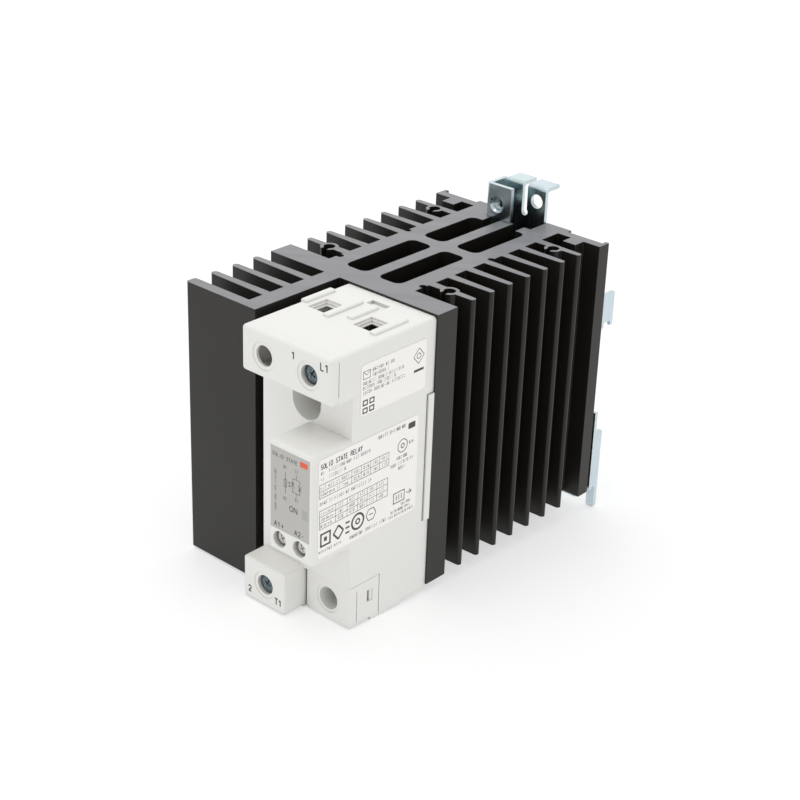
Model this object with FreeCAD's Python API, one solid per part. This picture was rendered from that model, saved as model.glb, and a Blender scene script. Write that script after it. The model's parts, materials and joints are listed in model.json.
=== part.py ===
import FreeCAD, Part
import math
import os

# Solid state relay: a one-phase module on an extruded heatsink with a DIN-rail clip.
# Working axes, in mm: +X right, +Y to the back, +Z up, x = 0 on the heatsink's middle,
# y = 0 on its front fin and z = 0 on its underside. save() moves every solid to the part's
# own frame, whose origin is at the bottom centre of the whole assembly.

# Heatsink extrusion
SINK_WIDTH = 70.0
SINK_HEIGHT = 92.5
SINK_DEPTH = 120.4
HALF = SINK_WIDTH / 2
PLATE_FRONT = 35.7
PLATE_BACK = 44.5
CORE_HALF = 18.0
REAR_WALL = 115.3
SIDE_WALL = (-11.4, -5.0)
FRONT_FIN_PITCH = 8.8
REAR_FIN_PITCH = 8.75
REAR_FIN_FIRST = 52.5
REAR_FINS = 7
FIN_ROOT = 3.2
FIN_TIP = 2.1
CORE_SLOT = (2.4, 11.4)
CHANNEL_HALF = 9.6
CHANNEL_FRONT = 111.3

# Module housing
BODY = (-1.8, 34.4)
BODY_FRONT = 0.3
BODY_FLOOR = -0.8
WALL = 1.8
UPPER_FLOOR = 77.2
UPPER_TOP = 91.7
UPPER_FRONT = -8.5
COVER_SEAM = -5.4
COVER_GROOVE_Z = (79.5, 90.2)
CONTROL_LEFT = 16.8
CONTROL_FRONT = -15.5
CONTROL_Z = (28.0, 63.9)
LOAD_FRONT = -8.2
LOAD_TOP = 14.0
LOAD_BACK = 26.2
LOAD_RIGHT = 15.8
LOWER_TOP = 13.3
LOWER_FRONT = 1.0
LOWER_BACK = 14.2
FOOT_DROP = 0.9
COVER_LEFT = 16.3
BLIND_XZ = (25.4, 6.2)
BLIND_R = 3.7
SEAM = 0.22
GROOVE = 0.12
RIM_DEPTH = 0.25

# Printed label and indicator window on the control block
LABEL_X = (17.5, 33.3)
LABEL_Z = (35.5, 62.4)
LABEL_Y = (-15.45, -15.25)
SIDE_LABEL_SHEET = 0.12
SIDE_LABEL_CORNER = 1.2
LED_XZ = (31.4, 44.2)
LED_HALF = (1.2, 1.5)

# Screws that hold the module on the heatsink, at (x, z)
FIXINGS = ((16.25, 69.95), (16.25, 20.0))
FIXING_R = 2.0
FIXING_HEAD_R = 3.6
FIXING_HEAD_Y = (26.4, 29.4)
FIXING_TIP = 42.5
RECESS_R = 5.75

# Power terminals: an M5 screw pulls a cage towards the front and clamps the wire on a busbar
LINE_XZ = (25.5, 84.3)
BLANK_XZ = (7.4, 84.3)
LOAD_XZ = (7.4, 7.0)
LINE_ENTRY_X = 24.7
BLANK_ENTRY_X = 6.4
RIDGES = ((-0.4, 15.4, 28.3), (11.5, 12.4, 27.9), (17.6, 16.2, 28.1), (29.75, 12.7, 27.6))
RIDGE_HALF = 1.3
RIDGE_RISE = 0.9
RIDGE_ROUND = 0.6
POWER_PITCH = 0.8
POWER_SCREW_R = 2.5
POWER_HEAD_R = 3.1
POWER_ACCESS_R = 3.25
POWER_RIM_R = 4.5
BLANK_WALL = 1.2
POWER_SHELF = (-3.9, 0.6)
CAGE_Y = (7.4, 24.0)
CAGE_NUT = 4.0
CAGE_BACK = 1.8
CAGE_HALF_X = 5.0
CAGE_HALF_Z = 4.1
CAGE_TRAVEL = 6.0
POWER_BAR_Y = (12.7, 14.2)
POWER_BAR_HALF = 3.7

# Control terminals: the same mechanism with M3 screws
A1_XZ = (21.2, 32.2)
A2_XZ = (29.3, 32.2)
CONTROL_PITCH = 0.5
CONTROL_SCREW_R = 1.5
CONTROL_HEAD_R = 2.25
CONTROL_ACCESS_R = 2.6
CONTROL_SHELF = (-12.6, -12.15)
CLAMP_Y = (-9.0, 0.8)
CLAMP_NUT = 2.4
CLAMP_BACK = 1.0
CLAMP_HALF = 3.1
CLAMP_HALF_Z = 2.4
CLAMP_TRAVEL = 3.0
STRIP_Y = (-5.4, -4.6)
STRIP_HALF = 1.6

# Electronics
BOARD_Y = (5.0, 6.6)
BASE_Y = (33.2, 35.5)
SUBSTRATE_Y = (32.3, 33.2)
CHIP_Y = (31.9, 32.3)
CHIPS = ((25.5, 46.5), (25.5, 36.0))
CHIP_HALF = 4.4

# Rear clip for a 35 mm rail, in bent sheet steel
SHEET = 1.2
CLIP_FACE = SINK_DEPTH
CLIP_DEPTH = 126.4
HOOK_Z = (61.9, 74.1)
THROAT_TOP = 63.7
RAIL_HEIGHT = 35.0
CATCH_FLOOR = THROAT_TOP - RAIL_HEIGHT - 0.4
SLIDER_FLANGE_TOP = 22.3
TAB_DROP = 8.2
SLIDER_TRAVEL = 5.0
SLIDER_Y = (CLIP_FACE + SHEET + 0.1, CLIP_FACE + 2 * SHEET + 0.1)
SLIDER_RIVETS = ((-22.0, 12.0), (22.0, 12.0))
SLOT_HALF = 2.05
WEB_HALF = 33.0
HOOK_GAP_Y = (CLIP_FACE + SHEET, CLIP_DEPTH - SHEET)
CLIP_SCREWS = ((-14.6, 45.0), (14.6, 45.0), (-14.6, 68.0), (14.6, 68.0))
CLIP_SCREW_R = 1.45
CLIP_SCREW_TIP = 114.6
SPRING_Z = (7.0, 19.0)
SPRING_R = 1.2
SPRING_WIRE = 0.22
SPRING_TURNS = 8
WINDOW_HALF = 1.9

# Earth bracket
BRACKET_TOP = 104.4
BRACKET_X = (-9.1, 9.3)
BRACKET_FRONT = 110.6
TAB_LEFT = -7.4
TAB_NOTCH_Z = 101.9
CHAMFER = 0.7
BRACKET_SHEET = 1.4
EARTH_XZ = (-4.6, 97.6)
EARTH_R = 2.1
BRACKET_RIVETS = ((0.0, 70.0), (0.0, 84.0))
RIVET_R = 1.6
RIVET_HEAD_R = 2.6
RIVET_HEAD = 1.0

RUNNING = 0.05
NEAR = 0.01
OUTER_BEND = 1.1
INNER_BEND = 0.5
Y_MIDDLE = (CONTROL_FRONT + CLIP_DEPTH) / 2
TO_PART_FRAME = FreeCAD.Vector(0, -Y_MIDDLE, TAB_DROP)


def box(x, y, z):
    corner = FreeCAD.Vector(x[0], y[0], z[0])
    return Part.makeBox(x[1] - x[0], y[1] - y[0], z[1] - z[0], corner)


def soft_box(x, y, z, radius, along="xyz"):
    """A box whose edges along the given axes are rounded."""
    solid = box(x, y, z)
    edges = [edge for edge in solid.Edges if direction(edge) in along]
    return solid.makeFillet(radius, edges)


def direction(edge):
    start = edge.Vertexes[0].Point
    run = edge.Vertexes[-1].Point - start
    sizes = [abs(run.x), abs(run.y), abs(run.z)]
    return "xyz"[sizes.index(max(sizes))]


def round_edges(solid, along, places, radius):
    """Rounds the edges along one axis that stand at the given places on the other two."""
    first, second = [axis for axis in "xyz" if axis != along]
    chosen = []
    for edge in solid.Edges:
        middle = edge.CenterOfMass
        if edge.Curve.TypeId != "Part::GeomLine" or direction(edge) != along:
            continue
        for a, b in places:
            if abs(getattr(middle, first) - a) < NEAR and abs(getattr(middle, second) - b) < NEAR:
                chosen.append(edge)
    return solid.makeFillet(radius, chosen)


def rod_y(radius, centre, y):
    """A cylinder along Y at centre (x, z) between two y positions."""
    start = FreeCAD.Vector(centre[0], y[0], centre[1])
    return Part.makeCylinder(radius, y[1] - y[0], start, FreeCAD.Vector(0, 1, 0))


def rod_z(radius, centre, z):
    """A cylinder along Z at centre (x, y) between two z positions."""
    start = FreeCAD.Vector(centre[0], centre[1], z[0])
    return Part.makeCylinder(radius, z[1] - z[0], start)


def rod_x(radius, centre, x):
    """A cylinder along X at centre (y, z) between two x positions."""
    start = FreeCAD.Vector(x[0], centre[0], centre[1])
    return Part.makeCylinder(radius, x[1] - x[0], start, FreeCAD.Vector(1, 0, 0))


def about(centre, half):
    return (centre - half, centre + half)


def fuse(solids):
    return solids[0].multiFuse(solids[1:]).removeSplitter()


def mirror_x(shape):
    return shape.mirror(FreeCAD.Vector(0, 0, 0), FreeCAD.Vector(1, 0, 0))


def both_sides(solids):
    return solids + [mirror_x(solid) for solid in solids]


def save(name, shape):
    placed = shape.copy()
    placed.translate(TO_PART_FRAME)
    placed.exportStep(f"parts/{name}.step")
    volume = placed.Volume / 1000
    print(f"{name:24s} {len(placed.Solids)} solid(s) {volume:8.3f} cm3 valid {placed.isValid()}")


# Heatsink -------------------------------------------------------------------

def fin(root_x, tip_x, y_middle, root, tip):
    """A tapered fin with a round tip, standing over the whole height."""
    side = 1 if tip_x > root_x else -1
    round_x = tip_x - side * tip / 2
    low_root = FreeCAD.Vector(root_x, y_middle - root / 2, 0)
    low_tip = FreeCAD.Vector(round_x, y_middle - tip / 2, 0)
    nose = FreeCAD.Vector(tip_x, y_middle, 0)
    high_tip = FreeCAD.Vector(round_x, y_middle + tip / 2, 0)
    high_root = FreeCAD.Vector(root_x, y_middle + root / 2, 0)
    edges = [
        Part.LineSegment(low_root, low_tip).toShape(),
        Part.Arc(low_tip, nose, high_tip).toShape(),
        Part.LineSegment(high_tip, high_root).toShape(),
        Part.LineSegment(high_root, low_root).toShape(),
    ]
    outline = Part.Face(Part.Wire(edges))
    return outline.extrude(FreeCAD.Vector(0, 0, SINK_HEIGHT))


def screw_channel_ring(y_middle):
    return rod_z(3.0, (25.3, y_middle), (0, SINK_HEIGHT))


def screw_channel_void(y_middle):
    hole = rod_z(1.9, (25.3, y_middle), (0, SINK_HEIGHT))
    mouth = box(about(25.0, 1.0), (y_middle - 3.4, y_middle), (0, SINK_HEIGHT))
    return hole.fuse(mouth)


def heatsink():
    tall = (0, SINK_HEIGHT)
    solids = [
        box((-HALF, HALF), (PLATE_FRONT, PLATE_BACK), tall),
        box(SIDE_WALL, (0, PLATE_FRONT + 1), tall),
        soft_box((-HALF, SIDE_WALL[1]), (0, 3.8), tall, 0.9, "z"),
        box((-CORE_HALF, CORE_HALF), (PLATE_BACK - 1, REAR_WALL + 1), tall),
    ]
    for row in range(1, 4):
        solids.append(fin(SIDE_WALL[0] + 1, -HALF, 2.1 + row * FRONT_FIN_PITCH, FIN_ROOT, 2.4))
    right = [box((CHANNEL_HALF, HALF), (REAR_WALL, SINK_DEPTH), tall)]
    right.append(box((23.4, 28.5), (110.9, REAR_WALL + 1), tall))
    for row in range(REAR_FINS):
        y_middle = REAR_FIN_FIRST + row * REAR_FIN_PITCH
        right.append(fin(CORE_HALF - 2, HALF, y_middle, FIN_ROOT, FIN_TIP))
    last_fin = REAR_FIN_FIRST + (REAR_FINS - 1) * REAR_FIN_PITCH
    channels = (REAR_FIN_FIRST - 0.3, last_fin - 1.6)
    right += [screw_channel_ring(y_middle) for y_middle in channels]
    body = fuse(solids + both_sides(right))
    voids = [
        soft_box(CORE_SLOT, (PLATE_BACK, 76.3), tall, 2.6, "z"),
        soft_box(CORE_SLOT, (81.1, 106.6), tall, 2.6, "z"),
        box((CORE_SLOT[0], 7.0), (104.0, CHANNEL_FRONT + 0.5), tall),
        box((19.6, 33.6), (118.6, SINK_DEPTH + 1), tall),
        rod_z(1.2, (CORE_HALF - 0.6, 48.9), tall),
        rod_z(1.1, (CORE_HALF - 0.4, 81.2), tall),
    ]
    voids += [screw_channel_void(y_middle) for y_middle in channels]
    middle = [box((-CHANNEL_HALF, CHANNEL_HALF), (CHANNEL_FRONT, SINK_DEPTH + 1), tall)]
    fixing_y = (PLATE_FRONT - 1, FIXING_TIP + 0.4)
    middle += [rod_y(FIXING_R, centre, fixing_y) for centre in FIXINGS]
    clip_y = (CLIP_SCREW_TIP - 0.3, SINK_DEPTH + 1)
    middle += [rod_y(CLIP_SCREW_R, centre, clip_y) for centre in CLIP_SCREWS]
    return body.cut(both_sides(voids) + middle)


# Housing --------------------------------------------------------------------

def access_recess():
    """The round-bottomed recess that leads a screwdriver to the upper fixing screw."""
    x, z = FIXINGS[0]
    slot = box(about(x, RECESS_R), (BODY_FRONT - 1, FIXING_HEAD_Y[1]), (z, UPPER_FLOOR + 1))
    return slot.fuse(rod_y(RECESS_R, (x, z), (BODY_FRONT - 1, FIXING_HEAD_Y[1])))


def main_housing():
    """The middle shell, open at the back, with a window behind the control terminals."""
    outer = box(BODY, (BODY_FRONT, PLATE_FRONT), (BODY_FLOOR, UPPER_FLOOR))
    inner_x = (BODY[0] + WALL, BODY[1] - WALL)
    open_back = PLATE_FRONT + 1
    ahead = BODY_FRONT - 1
    below = BODY_FLOOR - 1
    window_z = (CONTROL_Z[0] + 1.2, CONTROL_Z[1] - WALL)
    voids = [
        box(inner_x, (BODY_FRONT + WALL, open_back), (LOAD_TOP + WALL, UPPER_FLOOR - WALL)),
        box(inner_x, (LOAD_BACK + WALL, open_back), (BODY_FLOOR + WALL, LOAD_TOP + 2 * WALL)),
        box((BODY[0] - 1, LOAD_RIGHT), (ahead, LOAD_BACK), (below, LOAD_TOP)),
        box((LOAD_RIGHT, BODY[1] + 1), (ahead, LOWER_BACK), (below, LOWER_TOP)),
        box((CONTROL_LEFT + 0.9, inner_x[1]), (ahead, BODY_FRONT + WALL + 1), window_z),
        box(about(LINE_XZ[0], POWER_BAR_HALF), POWER_BAR_Y, (UPPER_FLOOR - 3, UPPER_FLOOR + 1)),
        box(about(LOAD_XZ[0], POWER_BAR_HALF), POWER_BAR_Y, (LOAD_TOP - 1, LOAD_TOP + 3)),
        box((BODY[1] - 0.8, BODY[1] + 1), (32.8, open_back), (23.9, 67.5)),
    ]
    x, z = FIXINGS[0]
    sleeve_r = RECESS_R + 1.2
    sleeve_y = (BODY_FRONT, FIXING_HEAD_Y[1] + 1.4)
    post_y = (FIXING_HEAD_Y[1], BASE_Y[0])
    foot_z = (BODY_FLOOR - FOOT_DROP, BODY_FLOOR + 0.5)
    added = [
        box(about(x, sleeve_r), sleeve_y, (z, UPPER_FLOOR)),
        rod_y(sleeve_r, (x, z), sleeve_y),
        box(about(FIXINGS[1][0], 5.0), post_y, (BODY_FLOOR + 0.5, FIXINGS[1][1])),
        box((BODY[1] - 3, BODY[1]), (LOWER_BACK, 24.6), foot_z),
        box((BODY[0], BODY[0] + 3), (LOAD_BACK, 31.0), foot_z),
    ]
    added += [rod_y(5.0, centre, post_y) for centre in FIXINGS]
    body = fuse([outer.cut(voids)] + added)
    hole_y = (FIXING_HEAD_Y[1] - 1, PLATE_FRONT)
    holes = [rod_y(FIXING_R + 0.3, centre, hole_y) for centre in FIXINGS]
    return body.cut([access_recess(), base_plate_space()] + holes)


def base_plate_space():
    x = (BODY[0] + WALL, BODY[1] - WALL)
    return box(x, (BASE_Y[0], PLATE_FRONT + 1), (LOAD_TOP - 6, UPPER_FLOOR - WALL))


def terminal_chamber(x_middle, z):
    """The space in which a power terminal's cage travels."""
    y = (POWER_SHELF[1], CAGE_Y[1] + 0.4)
    return box(about(x_middle, CAGE_HALF_X + 0.4), y, z)


def wire_entry(x_middle, z_top):
    """A wire opening in the top face, stepped in twice like a funnel."""
    y = (CAGE_Y[1] - CAGE_BACK - 8.0, CAGE_Y[1] - CAGE_BACK)
    steps = []
    for step in range(3):
        inset = 0.55 * step
        x_step = about(x_middle, 3.7 - inset)
        y_step = (y[0] + inset / 2, y[1] - inset)
        steps.append(box(x_step, y_step, (z_top - 0.7 * (step + 1), z_top + 1)))
    steps.append(box(about(x_middle, 2.6), (y[0] + 0.4, y[1] - 1.1), (z_top - 6, z_top + 1)))
    return fuse(steps)


def guide_ridges():
    """The raised ribs on both sides of each wire entry."""
    z = (UPPER_TOP - 1.0, UPPER_TOP + RIDGE_RISE)
    return [soft_box(about(x, RIDGE_HALF), (front, back), z, RIDGE_ROUND) for x, front, back in RIDGES]


def upper_terminal_housing():
    outer = soft_box(BODY, (COVER_SEAM, PLATE_FRONT), (UPPER_FLOOR, UPPER_TOP), 1.2, "y")
    keep_square = box(BODY, (COVER_SEAM, PLATE_FRONT), (UPPER_FLOOR, UPPER_FLOOR + 3))
    solid = fuse([outer, keep_square] + guide_ridges())
    inside_z = (UPPER_FLOOR + WALL, UPPER_TOP - WALL)
    voids = [
        rod_y(POWER_ACCESS_R, LINE_XZ, (COVER_SEAM - 1, POWER_SHELF[0])),
        rod_y(POWER_SCREW_R + 0.1, LINE_XZ, (POWER_SHELF[0] - 1, POWER_SHELF[1] + 1)),
        blank_pocket(inside_z),
        terminal_chamber(LINE_XZ[0], inside_z),
        terminal_chamber(BLANK_XZ[0], inside_z),
        wire_entry(LINE_ENTRY_X, UPPER_TOP),
        wire_entry(BLANK_ENTRY_X, UPPER_TOP),
        box(about(LINE_XZ[0], POWER_BAR_HALF), POWER_BAR_Y, (UPPER_FLOOR - 1, UPPER_FLOOR + 3)),
        box((12.8, 19.7), (28.7, 31.6), (UPPER_TOP - 1.0, UPPER_TOP + 1)),
        terminal_relief(),
        cover_groove(),
    ]
    return solid.cut(voids)


def terminal_relief():
    """The hollow back part of the upper housing, behind the terminal chambers."""
    x = (BODY[0] + WALL, BODY[1] - WALL)
    return box(x, (CAGE_Y[1] + 2.2, 33.9), (UPPER_FLOOR + WALL, UPPER_TOP - 2.2))


def blank_pocket(z):
    """The empty space behind the front wall of the unused terminal position."""
    return box(about(BLANK_XZ[0], CAGE_HALF_X + 0.4), (UPPER_FRONT + BLANK_WALL, POWER_SHELF[1] + 1), z)


def cover_groove():
    """Fine grooves on both sides, at the joint between the upper housing and its front cover."""
    y = about(COVER_SEAM, GROOVE)
    left = box((BODY[0] - 1, BODY[0] + SEAM), y, COVER_GROOVE_Z)
    right = box((BODY[1] - SEAM, BODY[1] + 1), y, COVER_GROOVE_Z)
    return left.fuse(right)


def terminal_front_cover():
    face = soft_box(BODY, (UPPER_FRONT, COVER_SEAM + 3), (UPPER_FLOOR, UPPER_TOP), 1.2, "xyz")
    solid = face.common(box(BODY, (UPPER_FRONT, COVER_SEAM), (UPPER_FLOOR, UPPER_TOP)))
    voids = [cover_groove(), blank_pocket((UPPER_FLOOR + WALL, UPPER_TOP - WALL))]
    for centre in (LINE_XZ, BLANK_XZ):
        voids.append(rod_y(POWER_ACCESS_R, centre, (UPPER_FRONT - 1, COVER_SEAM + 1)))
        voids.append(rod_y(POWER_RIM_R, centre, (UPPER_FRONT - 1, UPPER_FRONT + RIM_DEPTH)))
    return solid.cut(voids)


def control_housing():
    """The projecting block with the control terminals and the indicator window."""
    x = (CONTROL_LEFT, BODY[1])
    face = soft_box(x, (CONTROL_FRONT, BODY_FRONT + 3), CONTROL_Z, 1.0, "xyz")
    solid = face.common(box(x, (CONTROL_FRONT, BODY_FRONT), CONTROL_Z))
    upper_cavity = box((x[0] + WALL, x[1] - WALL), (CONTROL_FRONT + 1.6, BODY_FRONT + 1),
                       (A1_XZ[1] + 5.2, CONTROL_Z[1] - WALL))
    label_recess = box(LABEL_X, (CONTROL_FRONT - 1, LABEL_Y[1]), LABEL_Z)
    voids = [upper_cavity, label_recess, led_hole()]
    for x_middle, z_middle in (A1_XZ, A2_XZ):
        centre = (x_middle, z_middle)
        voids += [
            rod_y(CONTROL_ACCESS_R, centre, (CONTROL_FRONT - 1, CONTROL_SHELF[0])),
            rod_y(CONTROL_SCREW_R + 0.1, centre, (CONTROL_SHELF[0] - 1, CONTROL_SHELF[1] + 1)),
            box(about(x_middle, CLAMP_HALF + 0.25), (CONTROL_SHELF[1], BODY_FRONT + 1),
                (z_middle - CLAMP_HALF_Z - 0.2, z_middle + CLAMP_HALF_Z + 0.2)),
            box(about(x_middle, 2.5), (STRIP_Y[1], BODY_FRONT - 0.2), (CONTROL_Z[0] - 1, z_middle)),
            box(about(x_middle, STRIP_HALF + 0.1), (STRIP_Y[0] - 0.05, STRIP_Y[1] + 0.05),
                (z_middle, A1_XZ[1] + 6)),
        ]
    return solid.cut(voids)


def led_hole():
    x = about(LED_XZ[0], LED_HALF[0])
    return box(x, (CONTROL_FRONT - 1, CONTROL_FRONT + 3), about(LED_XZ[1], LED_HALF[1]))


def load_terminal_housing():
    x = (BODY[0], LOAD_RIGHT)
    z = (-0.3, LOAD_TOP)
    front = soft_box(x, (LOAD_FRONT, BODY_FRONT + 3), z, 0.8, "xyz")
    front = front.common(box(x, (LOAD_FRONT, BODY_FRONT), z))
    rear = box(x, (BODY_FRONT, LOAD_BACK), (BODY_FLOOR, LOAD_TOP))
    voids = [
        rod_y(POWER_ACCESS_R, LOAD_XZ, (LOAD_FRONT - 1, POWER_SHELF[0])),
        rod_y(POWER_SCREW_R + 0.1, LOAD_XZ, (POWER_SHELF[0] - 1, POWER_SHELF[1] + 1)),
        terminal_chamber(LOAD_XZ[0], (BODY_FLOOR + WALL + 0.4, LOAD_TOP - WALL)),
        box(about(LOAD_XZ[0], 3.4), (14.4, 21.8), (BODY_FLOOR - 1, LOAD_XZ[1])),
        box(about(LOAD_XZ[0], POWER_BAR_HALF), POWER_BAR_Y, (LOAD_TOP - 3, LOAD_TOP + 1)),
        rod_y(POWER_RIM_R, LOAD_XZ, (LOAD_FRONT - 1, LOAD_FRONT + RIM_DEPTH)),
    ]
    return fuse([front, rear]).cut(voids)


def lower_front_cover():
    """The cover of the unused lower right terminal position, with its blind round opening."""
    x = (COVER_LEFT, BODY[1])
    y = (LOWER_FRONT, LOWER_BACK - GROOVE)
    z = (BODY_FLOOR, LOWER_TOP - GROOVE)
    foot = box((x[1] - 3, x[1]), (10.4, y[1]), (z[0] - FOOT_DROP, z[0] + 0.5))
    voids = [
        box((x[0] + WALL, x[1] - WALL), (y[0] + 8.5, y[1] + 1), (z[0] + WALL, z[1] - WALL)),
        rod_y(BLIND_R, BLIND_XZ, (y[0] - 1, y[0] + 6.5)),
        rod_y(BLIND_R + 1.0, BLIND_XZ, (y[0] - 1, y[0] + RIM_DEPTH)),
        box((x[1] - 1.0, x[1] + 1), (8.7, 11.2), (5.4, 9.5)),
        box((x[1] - SEAM, x[1] + 1), about(4.2, GROOVE), (0.2, 11.1)),
    ]
    catch = box((x[1] - 1.2, x[1] - 0.25), (9.9, 11.3), (5.3, 9.6))
    return fuse([soft_box(x, y, z, 0.3, "xyz"), foot]).cut(voids).fuse(catch).removeSplitter()


def side_clip_strip():
    return soft_box((BODY[1] - 0.8, HALF), (33.3, PLATE_FRONT), (24.1, 67.3), 0.25, "z")


def label_plate():
    plate = soft_box(LABEL_X, LABEL_Y, LABEL_Z, 0.6, "y")
    return plate.cut(led_hole())


def side_label(y, z):
    return soft_box((BODY[1], BODY[1] + SIDE_LABEL_SHEET), y, z, SIDE_LABEL_CORNER, "x")


# Terminals ------------------------------------------------------------------

def cross_slot(centre, y, reach, width):
    """The four-armed recess of a screw head."""
    x, z = centre
    flat = box(about(x, reach), y, about(z, width))
    upright = box(about(x, width), y, about(z, reach))
    return flat.fuse(upright)


def power_screw(centre):
    head_y = (POWER_SHELF[0] - 3.2, POWER_SHELF[0] - RUNNING)
    head = rod_y(POWER_HEAD_R, centre, head_y)
    shank = rod_y(POWER_SCREW_R, centre, (head_y[1], POWER_BAR_Y[0] - RUNNING))
    recess = cross_slot(centre, (head_y[0] - 1, head_y[0] + 1.6), 1.85, 0.42)
    return fuse([head, shank]).cut(recess)


def power_cage(centre):
    x, z = centre
    outer = box(about(x, CAGE_HALF_X), CAGE_Y, about(z, CAGE_HALF_Z))
    inner_y = (CAGE_Y[0] + CAGE_NUT, CAGE_Y[1] - CAGE_BACK)
    inner = box(about(x, CAGE_HALF_X - 1.1), inner_y, about(z, CAGE_HALF_Z + 1))
    thread = rod_y(POWER_SCREW_R + RUNNING, centre, (CAGE_Y[0] - 1, inner_y[0] + 1))
    return outer.cut([inner, thread])


def control_screw(centre):
    head_y = (CONTROL_SHELF[0] - 1.8, CONTROL_SHELF[0] - RUNNING)
    head = rod_y(CONTROL_HEAD_R, centre, head_y)
    shank = rod_y(CONTROL_SCREW_R, centre, (head_y[1], STRIP_Y[0] - RUNNING))
    recess = cross_slot(centre, (head_y[0] - 1, head_y[0] + 1.0), 1.35, 0.3)
    return fuse([head, shank]).cut(recess)


def control_clamp(centre):
    x, z = centre
    outer = box(about(x, CLAMP_HALF), CLAMP_Y, about(z, CLAMP_HALF_Z))
    inner_y = (CLAMP_Y[0] + CLAMP_NUT, CLAMP_Y[1] - CLAMP_BACK)
    inner = box(about(x, CLAMP_HALF - 0.7), inner_y, about(z, CLAMP_HALF_Z + 1))
    thread = rod_y(CONTROL_SCREW_R + RUNNING, centre, (CLAMP_Y[0] - 1, inner_y[0] + 1))
    return outer.cut([inner, thread])


def control_contact(centre):
    """A bent strip from the clamp to the control board."""
    x, z = centre
    upright = box(about(x, STRIP_HALF), STRIP_Y, (z - CLAMP_HALF_Z + 0.3, z + 7.6))
    shelf = box(about(x, STRIP_HALF), (STRIP_Y[0], BOARD_Y[0]), (z + 6.8, z + 7.6))
    return upright.fuse(shelf).removeSplitter()


def line_busbar():
    """Copper strip from the line terminal down to the upper thyristor chip."""
    wide_x = about(LINE_XZ[0], POWER_BAR_HALF)
    x = (23.5, wide_x[1])
    foot_z = (50.0, 51.2)
    head = box(wide_x, POWER_BAR_Y, (UPPER_FLOOR + 0.2, LINE_XZ[1] + CAGE_HALF_Z))
    upright = box(x, POWER_BAR_Y, (foot_z[0], UPPER_FLOOR + 0.4))
    arm = box(x, (POWER_BAR_Y[0], CHIP_Y[0]), foot_z)
    pad = box(x, (CHIP_Y[0] - 0.8, CHIP_Y[0]), (46.0, foot_z[1]))
    return fuse([head, upright, arm, pad])


def load_busbar():
    """Copper strip from the load terminal up to the ceramic's left pad."""
    x = about(LOAD_XZ[0], POWER_BAR_HALF)
    foot_z = (34.0, 35.2)
    upright = box(x, POWER_BAR_Y, (LOAD_XZ[1] - CAGE_HALF_Z, foot_z[1]))
    arm = box(x, (POWER_BAR_Y[0], SUBSTRATE_Y[0]), foot_z)
    pad = box(x, (SUBSTRATE_Y[0] - 0.8, SUBSTRATE_Y[0]), (foot_z[0], 40.0))
    return fuse([upright, arm, pad])


# Electronics ----------------------------------------------------------------

def module_base_plate():
    plate = soft_box((0.3, 32.3), BASE_Y, (LOAD_TOP - 5.8, UPPER_FLOOR - WALL - 0.2), 0.8, "y")
    return plate.cut(fixing_clearance((BASE_Y[0] - 1, BASE_Y[1] + 1)))


def fixing_clearance(y):
    return [rod_y(FIXING_R + 0.2, centre, y) for centre in FIXINGS]


def thermal_compound():
    film = box((1.0, 31.6), (BASE_Y[1], PLATE_FRONT), (LOAD_TOP - 5.0, UPPER_FLOOR - WALL - 1.0))
    return film.cut(fixing_clearance((BASE_Y[1] - 1, PLATE_FRONT + 1)))


def fixing_screws():
    screws = []
    for centre in FIXINGS:
        head = rod_y(FIXING_HEAD_R, centre, FIXING_HEAD_Y)
        shank = rod_y(FIXING_R, centre, (FIXING_HEAD_Y[1], FIXING_TIP))
        recess = cross_slot(centre, (FIXING_HEAD_Y[0] - 1, FIXING_HEAD_Y[0] + 1.5), 1.9, 0.45)
        screws.append(fuse([head, shank]).cut(recess))
    return Part.makeCompound(screws)


def ceramic_substrate():
    return soft_box((2.0, 31.0), SUBSTRATE_Y, (28.0, 58.0), 0.5, "y")


def thyristor_chips():
    chips = [box(about(x, CHIP_HALF), CHIP_Y, about(z, CHIP_HALF)) for x, z in CHIPS]
    return Part.makeCompound(chips)


def chip_link():
    """The copper link that joins the lower chip to the load pad."""
    z = (34.6, 38.8)
    under = CHIP_Y[0] - 0.9
    bridge = box((11.1, 29.0), (CHIP_Y[0] - 1.6, under), z)
    chip_foot = box((22.5, 29.0), (under, CHIP_Y[0]), z)
    pad_foot = box((11.1, 14.0), (under, SUBSTRATE_Y[0]), z)
    return fuse([bridge, chip_foot, pad_foot])


def gate_leads():
    """Thin pins from the ceramic to the control board."""
    pins = []
    for z in (54.6, 56.4):
        for x in (8.0, 10.2):
            pins.append(box(about(x, 0.32), (BOARD_Y[1], SUBSTRATE_Y[0]), about(z, 0.32)))
    return Part.makeCompound(pins)


def control_board():
    board = box((0.6, 32.0), BOARD_Y, (18.5, 62.5))
    return board.cut(access_sleeve_space())


def access_sleeve_space():
    x, z = FIXINGS[0]
    return rod_y(RECESS_R + 1.7, (x, z), (BOARD_Y[0] - 1, BOARD_Y[1] + 1))


def optocoupler():
    body_y = (BOARD_Y[1] + 0.9, BOARD_Y[1] + 4.3)
    body = soft_box((13.0, 19.6), body_y, (44.0, 52.6), 0.3, "z")
    legs = []
    for x in (12.2, 19.6):
        for z in (45.6, 48.1, 50.6):
            legs.append(box((x, x + 0.8), (BOARD_Y[1], BOARD_Y[1] + 2.6), about(z, 0.35)))
    return fuse([body] + legs)


def varistor():
    disc = rod_x(6.6, (20.0, 48.0), (2.2, 6.4))
    wires = [box(about(4.3, 0.4), (BOARD_Y[1], 20.0), about(z, 0.4)) for z in (44.4, 51.6)]
    return fuse([disc] + wires)


def snubber_capacitor():
    return soft_box((13.5, 20.5), (BOARD_Y[1], BOARD_Y[1] + 10.0), (24.5, 37.0), 0.5, "xyz")


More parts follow.
